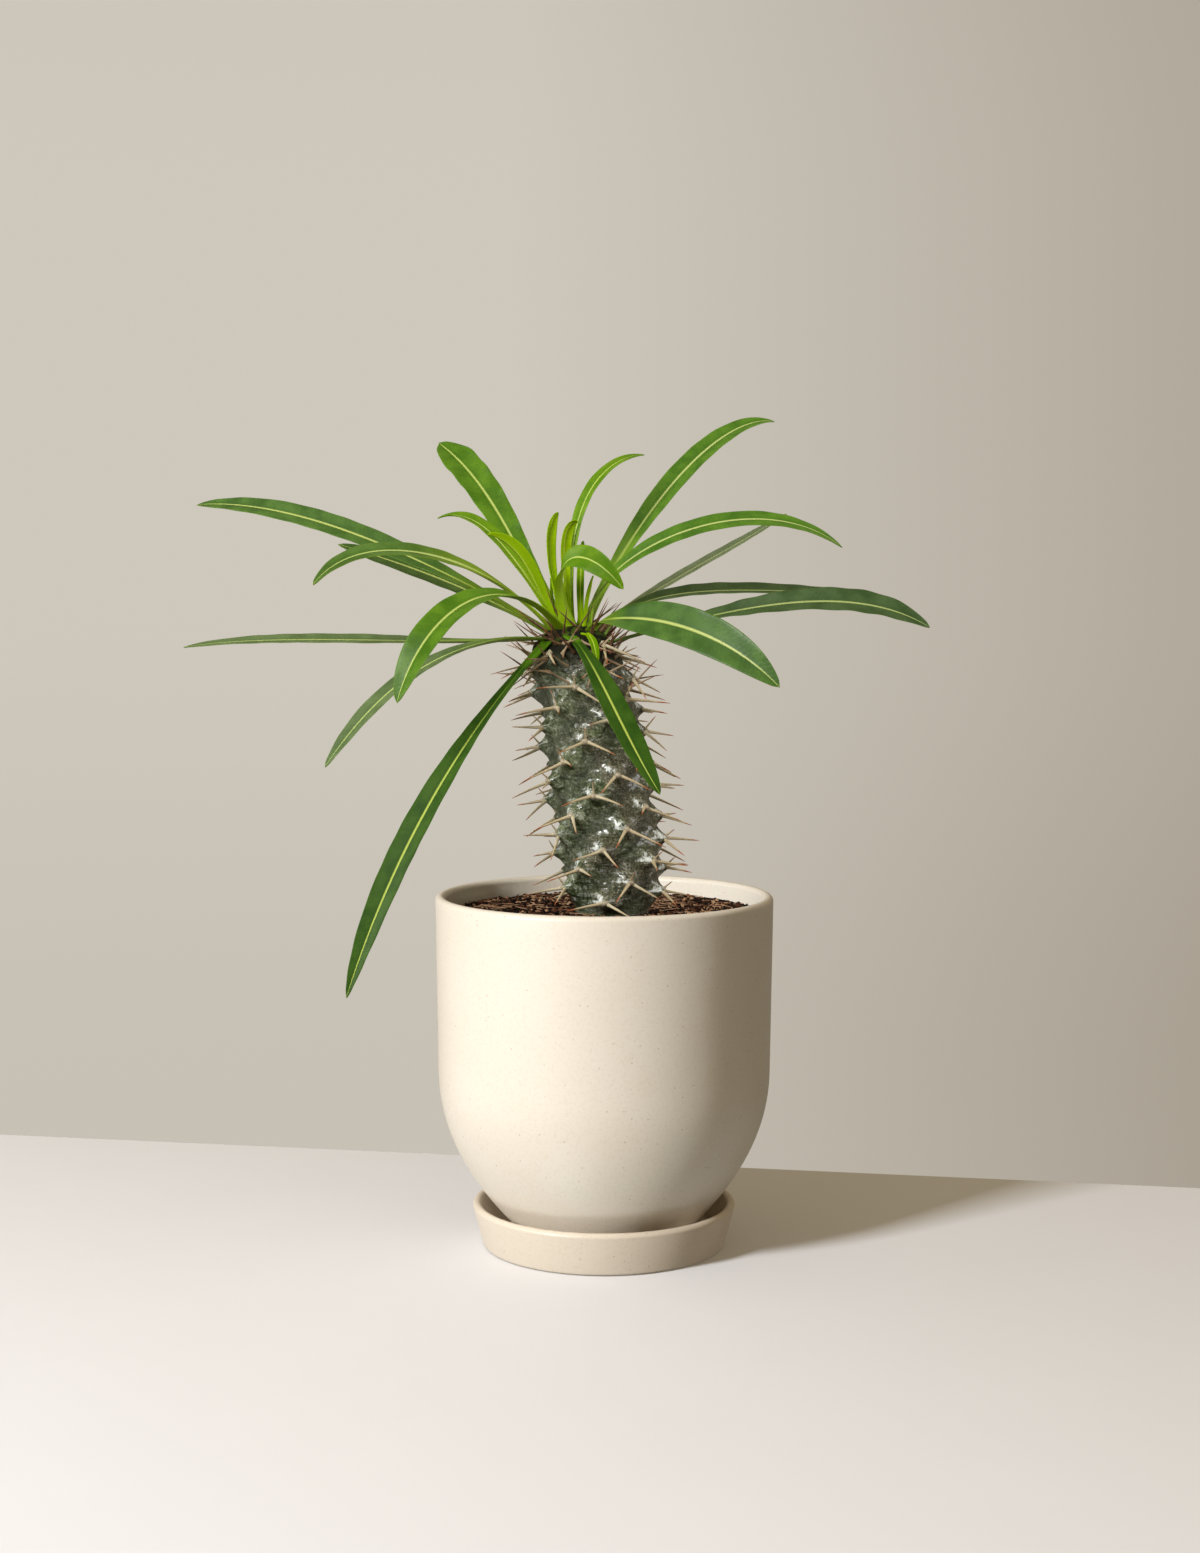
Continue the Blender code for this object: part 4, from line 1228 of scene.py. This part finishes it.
@dataclass
class Leaf:
    """One leaf: its foot on the crown, the curve of its rib seen from the side, and its blade."""

    foot: Pair                 # azimuth and distance of the foot from the crown's centre
    heading: Pair              # azimuth in which it leaves, and how far its tip swings on
    rib: tuple[Pair, ...]      # outward reach and height over the foot: two handles and the tip
    blade: tuple[float, float, float]    # width of the stalk, of the blade, and share where it is widest
    roll: float                 # degrees by which the blade leans about its rib
    age: AgeAndLight = AgeAndLight.DEEP
    gutter: float = 14.0        # degrees by which each half of the blade rises from the rib
    wave: float = 0.12          # how far its edges wave up and down
    bow: float = 0.0            # how far the middle of the rib bends to the leaf's left

    def azimuth(self, share: np.ndarray) -> np.ndarray:
        """Give the azimuth in which the leaf runs, in radians, at shares of its length."""
        return np.radians(self.heading[0] + self.heading[1] * share * share)

    def rib_points(self, stem: Stem, share: np.ndarray) -> np.ndarray:
        """Give points of the rib at shares of its length."""
        line = bezier(((0.0, 0.0), *self.rib), share)
        azimuth = self.azimuth(share)
        ahead = np.stack((np.cos(azimuth), np.sin(azimuth), 0.0 * share), 1)
        aside = np.stack((-np.sin(azimuth), np.cos(azimuth), 0.0 * share), 1)
        foot = math.radians(self.foot[0])
        start = np.array((float(stem.centre(stem.top)) + self.foot[1] * math.cos(foot),
                          self.foot[1] * math.sin(foot), float(stem.crown_height(self.foot[1]))))
        bend = (self.bow * np.sin(math.pi * share))[:, None]
        return start + ahead * line[:, :1] + aside * bend + np.outer(line[:, 1], (0.0, 0.0, 1.0))

    def axes(self, stem: Stem, share: np.ndarray, grows: float) -> tuple[np.ndarray, np.ndarray, np.ndarray]:
        """Give the directions along the rib, to the leaf's left and out of its upper face.

        Args:
            stem: The stem that it grows on.
            share: Shares of its length.
            grows: The share of the leaf over which its roll grows.

        Returns:
            The three directions at each share.
        """
        step = 0.004
        along = unit(self.rib_points(stem, np.minimum(share + step, 1.0))
                     - self.rib_points(stem, np.maximum(share - step, 0.0)))
        azimuth = self.azimuth(share)
        left = np.stack((-np.sin(azimuth), np.cos(azimuth), 0.0 * share), 1)
        left = unit(left - along * np.sum(left * along, 1, keepdims=True))
        roll = np.radians(self.roll * smoothstep(0.0, grows, share))[:, None]
        left = left * np.cos(roll) + np.cross(along, left) * np.sin(roll)
        return along, left, np.cross(along, left)

    def half_width(self, share: np.ndarray, tip: float, flare: Pair) -> np.ndarray:
        """Give half the leaf's width: a stalk, a long blade and a short point.

        Args:
            share: Shares of its length.
            tip: The width of the tip.
            flare: How much wider the stalk's foot is, and over what share of the leaf.

        Returns:
            Half the width at each share.
        """
        stalk, width, widest = self.blade
        grown = stalk + (width - stalk) * smoothstep(0.0, widest, share)
        grown = grown * (1.0 + flare[0] * np.exp(-(share / flare[1]) ** 2))
        point = np.clip((share - widest) / (1.0 - widest), 0.0, 1.0)
        closing = tip + (width - tip) * (1.0 - point ** 2.6) ** 0.8
        return np.where(share < widest, grown, closing) / 2.0


def leaves() -> tuple[Leaf, ...]:
    """List the leaves, in the order of the part's nodes."""
    deep, dark, full, dull, young = AgeAndLight.DEEP, AgeAndLight.DARK, AgeAndLight.FULL, AgeAndLight.DULL, AgeAndLight.YOUNG
    long, shaded, shoot, sleek, fresh = AgeAndLight.LONG, AgeAndLight.SHADED, AgeAndLight.SHOOT, AgeAndLight.SLEEK, AgeAndLight.FRESH
    pale = AgeAndLight.LIT_PALE
    return (
        # Lower whorl on the left
        Leaf((168, 12.0), (170, -6), ((48, 28), (112, 60), (169, 57)), (5.0, 13.0, 0.6), -43, deep, 11),
        Leaf((143, 14.0), (146, 6), ((36, 18), (74, 30), (113, 41)), (4.6, 12.5, 0.6), -31, deep, 11),
        Leaf((192, 11.0), (197, 8), ((29, 34), (84, 46), (108, 19)), (4.4, 11.0, 0.55), -33, long, 12),
        Leaf((228, 10.0), (226, -4), ((33, 29), (77, 12), (88, -30)), (5.2, 15.0, 0.68), -24, full),
        Leaf((178, 16.0), (183, -6), ((57, -3), (112, 3), (158, -4)), (4.4, 11.0, 0.5), -21, dull, 10, 0.1),
        Leaf((208, 16.0), (208, 4), ((43, 4), (77, -19), (104, -52)), (4.4, 11.0, 0.62), -18, dull, 11, 0.1),
        Leaf((226, 17.5), (222, -6), ((48, -37), (83, -87), (100, -145)), (4.6, 14.5, 0.62), -16, dark),
        # Upper whorl on the left
        Leaf((118, 8.0), (118, 6), ((41, 21), (67, 64), (112, 87)), (5.4, 16.5, 0.84), -30, full, wave=0.6),
        Leaf((143, 10.0), (154, 4), ((18, 28), (38, 57), (58, 49)), (4.0, 9.5, 0.55), -18, fresh),
        Leaf((200, 8.0), (200, -6), ((10, 18), (15, 38), (31, 40)), (4.6, 7.4, 0.55), 38, young, 30, 0.1),
        # Young leaves in the middle
        Leaf((190, 5.2), (180, 0), ((6, 20), (9, 46), (2, 50)), (3.0, 6.0, 0.6), -50, shoot, 26, 0.1),
        Leaf((192, 2.4), (180, 0), ((2, 22), (6, 46), (-4, 46)), (3.2, 6.5, 0.6), -50, shoot, 26, 0.1),
        Leaf((85, 3.6), (10, 28), ((-3, 30), (-3, 74), (39, 76)), (4.0, 8.0, 0.5), 22, fresh, 12, 0.1),
        Leaf((248, 5.8), (300, 14), ((-6, 29), (20, 41), (34, 16)), (6.0, 11.5, 0.62), 60, fresh, bow=-6),
        Leaf((40, 4.0), (80, 0), ((-2, 13), (-3, 26), (5, 37)), (2.6, 3.5, 0.5), 0, young, wave=0.0),
        Leaf((170, 9.2), (180, 0), ((0, 7), (1, 14), (2, 22)), (1.8, 2.2, 0.4), 0, young, wave=0.0),
        Leaf((330, 6.0), (340, 0), ((0, 8), (1, 15), (4, 22)), (2.0, 2.6, 0.4), 0, young, wave=0.0),
        # Upper whorl on the right
        Leaf((48, 8.0), (42, -6), ((26, 46), (80, 99), (108, 95)), (5.0, 11.8, 0.52), 30, sleek),
        Leaf((8, 9.0), (6, 8), ((-9, 29), (68, 68), (115, 36)), (4.6, 10.8, 0.6), 41, sleek, 8, 0.1),
        # Lower whorl on the right
        Leaf((54, 14.0), (50, -6), ((42, 21), (88, 34), (130, 57)), (4.2, 8.0, 0.55), 8, pale, 12, 0.08),
        Leaf((26, 14.5), (26, -6), ((15, 25), (68, 20), (126, 19)), (4.6, 13.0, 0.6), 23, shaded),
        Leaf((346, 17.0), (348, 6), ((49, 14), (103, 29), (138, 7)), (5.0, 15.0, 0.68), 42, shaded, 14, 0.25),
        Leaf((318, 11.0), (318, 8), ((4, 8), (62, 11), (94, -23)), (5.0, 18.5, 0.62), 62, deep),
        # Leaves that hang in front
        Leaf((266, 15.5), (303, 8), ((18, -7), (40, -40), (57, -64)), (4.6, 13.0, 0.58), 10, dark),
        Leaf((292, 14.0), (300, 0), ((4, 0), (8, -4), (9, -12)), (2.6, 4.2, 0.5), 0, young, wave=0.0),
        # Leaves behind the stem
        Leaf((92, 14.0), (92, 0), ((35, 12), (80, -2), (112, -45)), (4.6, 13.0, 0.6), 0, full),
        Leaf((112, 17.0), (85, 0), ((25, 4), (55, -30), (70, -75)), (4.6, 13.0, 0.6), 0, deep),
        Leaf((70, 17.0), (78, 0), ((30, 6), (60, -25), (82, -62)), (4.6, 13.0, 0.6), 0, deep),
    )


@dataclass
class Crown:
    """The rosette of leaves, each lofted over fine sections with a rib, a gutter and waved edges."""

    stem: Stem
    stations: int = 118
    across_half: tuple[float, ...] = (0.0, 0.07, 0.15, 0.25, 0.38, 0.54, 0.71, 0.86, 0.955, 1.0)
    tip: float = 0.9
    tip_round: Pair = (0.985, 0.96)     # where the tip's end starts to round off, and how far it does
    flare: Pair = (0.5, 0.06)
    blade_half: float = 0.25            # half the thickness of the blade
    rib_depth: float = 0.75             # how far the rib stands out under the blade
    rib_half: float = 0.85
    groove: Pair = (0.16, 0.6)          # depth and half width of the groove over the rib
    gutter_round: float = 0.15
    stalk_lift: Pair = (0.62, 0.42)     # height of the stalk's edges, and depth of the gutter between
    stalk_depth: float = 0.95
    roll_grows: float = 0.45
    sunk: float = 1.6                   # how deep a foot is set in the crown
    wave_length: float = 17.0
    young: tuple[int, ...] = (10, 11, 12, 13, 15, 16, 17, 25)    # leaves in the young leaves' slot

    def section(self, half: np.ndarray, share: np.ndarray, run: np.ndarray, leaf: Leaf,
                phase: float) -> tuple[np.ndarray, np.ndarray, np.ndarray, np.ndarray]:
        """Work out the leaf's sections, which change from stalk to blade over its first third.

        Args:
            half: Half the width at each station.
            share: The share of the length at each station.
            run: The length along the rib to each station.
            leaf: The leaf.
            phase: Where its waves start.

        Returns:
            For each station and place round the section: the place across from 1 at the left edge
            to -1 at the right, the offset to the left, the offset upwards, and 1 on the upper face.
        """
        side = np.array(self.across_half)
        across = np.concatenate((side[::-1], -side[1:]))
        ring = np.concatenate((across, across[-2:0:-1]))[None, :]
        upper = np.concatenate((np.ones(len(across)), np.zeros(len(across) - 2)))[None, :]
        half, share, run = half[:, None], share[:, None], run[:, None]
        grown = smoothstep(0.0, 0.3, share)
        closing = 1.0 - smoothstep(0.7, 1.0, share)
        angle = math.radians(leaf.gutter) * grown
        soft = self.gutter_round
        valley = (np.sqrt(ring ** 2 + soft ** 2) - soft) / (math.sqrt(1.0 + soft ** 2) - soft)
        swing = math.tau * run / self.wave_length + phase + 1.9 * np.sign(ring) + np.sin(run / 9.0)
        wave = leaf.wave * smoothstep(0.15, 0.4, share) * np.abs(ring) ** 3 * np.sin(swing)
        middle = half * np.sin(angle) * valley + wave + 0.5 + 0.35 * (1.0 - grown)
        place = ring * half
        rounded = np.sqrt(1.0 - np.abs(ring) ** 12)
        groove = self.groove[0] * np.exp(-(place / self.groove[1]) ** 2) * closing
        bulge = self.rib_depth * closing * np.exp(-(place / self.rib_half) ** 2)
        stalk_up = self.stalk_lift[0] * rounded - self.stalk_lift[1] * np.exp(-(ring / 0.5) ** 2)
        stalk_down = self.stalk_depth * np.sqrt(np.maximum(1.0 - ring ** 2, 0.0))
        over = (self.blade_half * rounded - groove) * grown + stalk_up * (1.0 - grown)
        under = (self.blade_half * rounded + bulge) * grown + stalk_down * (1.0 - grown)
        lift = upper * over - (1.0 - upper) * under
        blank = 0.0 * half
        return ring + blank, place * np.cos(angle), middle + lift, upper + blank

    def build_leaf(self, number: int, leaf: Leaf, surface: bpy.types.Material) -> bpy.types.Object:
        """Make one leaf.

        Args:
            number: Its number among the part's leaves.
            leaf: The leaf.
            surface: Its material.

        Returns:
            The leaf's piece.
        """
        ends = (0.9976, 0.999)
        share = np.sort(np.concatenate((np.linspace(0.0, 1.0, self.stations), ends)))
        centre = leaf.rib_points(self.stem, share)
        along, left, above = leaf.axes(self.stem, share, self.roll_grows)
        run = np.concatenate(([0.0], np.cumsum(np.linalg.norm(np.diff(centre, axis=0), axis=1))))
        half = leaf.half_width(share, self.tip, self.flare)
        half = half * np.sqrt(1.0 - smoothstep(self.tip_round[0], 1.0, share) * self.tip_round[1])
        across, offset, lift, upper = self.section(half, share, run, leaf, number * 2.4)
        rings = centre[:, None] + left[:, None] * offset[..., None] + above[:, None] * lift[..., None]
        rings = np.concatenate((rings[:1] - along[:1, None] * self.sunk, rings))
        width, blank = half[:, None], 0.0 * across
        values = {"across": across * width, "edge": (1.0 - np.abs(across)) * width, "upper": upper,
                  "share": share[:, None] + blank, "run": run[:, None] + blank, "width": width + blank}
        values = {name: np.concatenate((value[:1], value)) for name, value in values.items()}
        body = Body()
        body.add_rings(rings, **values)
        slot = "leaf_young" if number in self.young else "leaf_green"
        return settle(body.make(f"blade_{number:02d}", surface), slot, f"leaf_{number:02d}")

    def build(self) -> list[bpy.types.Object]:
        """Make every leaf, with one finish for each age and for the copies with painted light and painted
        shade.
        """
        surfaces = {age: age.value.material() for age in AgeAndLight}
        return [self.build_leaf(number, leaf, surfaces[leaf.age])
                for number, leaf in enumerate(leaves(), start=1)]


# Studio

@dataclass(frozen=True)
class Lamp:
    """A square soft light that points at the plant."""

    name: str
    towards: Triple             # the direction in which it hangs
    away: float                 # its distance in metres
    size: float                 # the length of its side in metres
    strength: float             # how brightly a white card at the plant would show, where 1 is full white
    colour: Colour

    def hang(self, aim: Vector, lit: list[bpy.types.Object], shading: list[bpy.types.Object]) -> None:
        """Hang the light.

        Args:
            aim: The place that it points at, in metres.
            lit: What it lights.
            shading: What casts shadows in it.
        """
        data = bpy.data.lights.new(self.name, "AREA")
        data.shape, data.size, data.color = "SQUARE", self.size, self.colour
        data.energy = self.strength * (math.pi * self.away) ** 2
        made = bpy.data.objects.new(self.name, data)
        towards = Vector(self.towards).normalized()
        made.location = aim + towards * self.away
        made.rotation_euler = (-towards).to_track_quat("-Z", "Y").to_euler()
        made.visible_camera = False
        bpy.context.scene.collection.objects.link(made)
        for role, pieces in (("receiver", lit), ("blocker", shading)):
            group = bpy.data.collections.new(f"{self.name}_{role}")
            for piece in pieces:
                group.objects.link(piece)
            setattr(made.light_linking, f"{role}_collection", group)


@dataclass
class Studio:
    """The pale floor, the backdrop, the lights and the camera."""

    edge_left: Pair = (-320.0, 205.0)     # two points of the floor's rear edge
    edge_right: Pair = (290.0, 98.0)
    floor_reach: float = 2400.0
    floor_thick: float = 30.0
    floor_edge: float = 4.0
    wall_radius: float = 3200.0
    wall_top: float = 3400.0
    wall_foot: float = -900.0
    wall_bend: float = 700.0
    lens: float = 52.16
    sensor: float = 36.0
    aim: Triple = (0.0, 0.0, 150.0)
    zenith: Colour = (0.5, 0.4, 0.26)
    horizon: Colour = (0.1, 0.085, 0.065)
    below: Colour = (0.2, 0.18, 0.145)
    camera_place: Triple = (-2.02, -994.25, 285.8)
    camera_pitch: float = -4.376
    camera_roll: float = 0.085

    def floor(self) -> bpy.types.Object:
        """Lay the floor as a slab that ends close behind the planter and sheds no light on it."""
        left, right = np.array(self.edge_left), np.array(self.edge_right)
        way = (right - left) / np.linalg.norm(right - left)
        back = [left - way * self.floor_reach, right + way * self.floor_reach]
        front = [corner - np.array((0.0, 2.0 * self.floor_reach)) for corner in back]
        corners = [back[0], front[0], front[1], back[1]]
        points = [(*corner, height) for height in (0.0, -self.floor_thick) for corner in corners]
        sides = [[side, side + 4, (side + 1) % 4 + 4, (side + 1) % 4] for side in range(4)]
        body = Body()
        body.add(np.array(points), [[0, 1, 2, 3], [7, 6, 5, 4], *sides])
        floor = body.make("floor", Ground().material(), smooth=False)
        soften = floor.modifiers.new("edge", "BEVEL")
        soften.width = self.floor_edge * MM
        soften.segments = 3
        floor.visible_diffuse = False
        return floor

    def backdrop(self) -> None:
        """Stand a round backdrop far behind everything, which sheds no light on the plant."""
        middle = (self.wall_radius - self.wall_bend, self.wall_foot + self.wall_bend)
        bend = arc(middle, self.wall_bend, 270, 360, 12)
        outline = np.array([(1.0, self.wall_foot), *bend, (self.wall_radius, self.wall_top)])
        body = Body()
        body.add_rings(turn_section(outline, 96))
        wall = body.make("backdrop", Backcloth().material())
        wall.visible_diffuse = wall.visible_glossy = wall.visible_shadow = False

    def lights(self, potted: list[bpy.types.Object], plant: list[bpy.types.Object]) -> None:
        """Light the planter with its floor, and the plant, each by lamps of its own.

        Args:
            potted: The floor, the saucer, the planter and the soil.
            plant: The stem, the spines and the leaves.
        """
        floor, *pots = potted
        glazed, planter, skin = pots[:2], pots[1:2], plant[:1]
        hung = (
            (Lamp("floor_key", (-0.623, -0.602, 0.5), 1.9, 0.3, 1.08, (1.0, 1.0, 1.03)), [floor], potted),
            (Lamp("planter_key", (-0.68, -0.657, 0.33), 1.9, 0.3, 1.06, (1.0, 0.99, 0.98)), pots, pots),
            (Lamp("planter_low", (-0.45, -0.5, -1.0), 1.9, 0.8, 0.17, (1.0, 0.98, 0.93)), planter, pots),
            (Lamp("plant_key", (-0.5, -0.72, 0.62), 2.0, 0.8, 0.8, (1.0, 1.0, 0.97)), plant, plant),
            (Lamp("rim_light", (-0.1, -0.25, 1.0), 1.6, 0.6, 0.1, (1.0, 0.97, 0.92)), glazed, pots),
            (Lamp("plant_left", (-1.0, 0.25, 0.3), 1.8, 0.7, 0.35, (1.0, 1.0, 0.98)), plant, plant),
            (Lamp("plant_right", (1.0, -0.1, 0.3), 1.8, 0.7, 0.4, (1.0, 0.99, 0.97)), plant, plant),
            (Lamp("stem_glint", (-0.4, -0.75, 0.5), 1.6, 0.12, 0.35, (1.0, 1.0, 1.0)), skin, plant))
        for lamp, lit, shading in hung:
            lamp.hang(Vector(self.aim) * MM, lit, shading)

    def room(self) -> None:
        """Fill the room with warm light, strongest from above and weak from below."""
        graph = Graph("room", "worlds")
        way = graph.node("ShaderNodeTexCoord", {}, {}, "Generated")
        height = graph.axis(way, "Z")
        above = graph.mix(height.most(0.0), self.horizon, self.zenith)
        colour = graph.mix(height.rise(-0.01, 0.01), self.below, above)
        shine = graph.node("ShaderNodeBackground", {}, {"Color": colour})
        graph.node("ShaderNodeOutputWorld", {}, {"Surface": shine})
        bpy.context.scene.world = graph.owner

    def camera(self) -> None:
        """Set the camera as the photograph has it."""
        data = bpy.data.cameras.new("camera")
        data.lens, data.sensor_width, data.sensor_fit = self.lens, self.sensor, "AUTO"
        data.clip_start, data.clip_end = 0.05, 20.0
        made = bpy.data.objects.new("camera", data)
        made.location = Vector(self.camera_place) * MM
        turn = (Matrix.Rotation(math.radians(90.0 + self.camera_pitch), 3, "X")
                @ Matrix.Rotation(math.radians(self.camera_roll), 3, "Z"))
        made.rotation_euler = turn.to_euler()
        bpy.context.scene.collection.objects.link(made)
        bpy.context.scene.camera = made

    def build(self, potted: list[bpy.types.Object], plant: list[bpy.types.Object]) -> None:
        """Set up the studio round the finished pieces.

        Args:
            potted: The saucer, the planter and the soil.
            plant: The stem, the spines and the leaves.
        """
        bpy.context.scene.view_settings.view_transform = "Standard"
        self.camera()
        self.backdrop()
        self.room()
        self.lights([self.floor(), *potted], plant)


def main() -> None:
    logging.basicConfig(level=logging.INFO, format="%(name)s %(message)s")
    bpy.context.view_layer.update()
    planter = Planter()
    potted = [Saucer().build(), planter.build(), *Soil(planter).build()]
    stem = Stem()
    plant = [stem.build(Bark().material()), *Spines(stem).build(), *Crown(stem).build()]
    Studio().build(potted, plant)


if __name__ == "__main__":
    main()
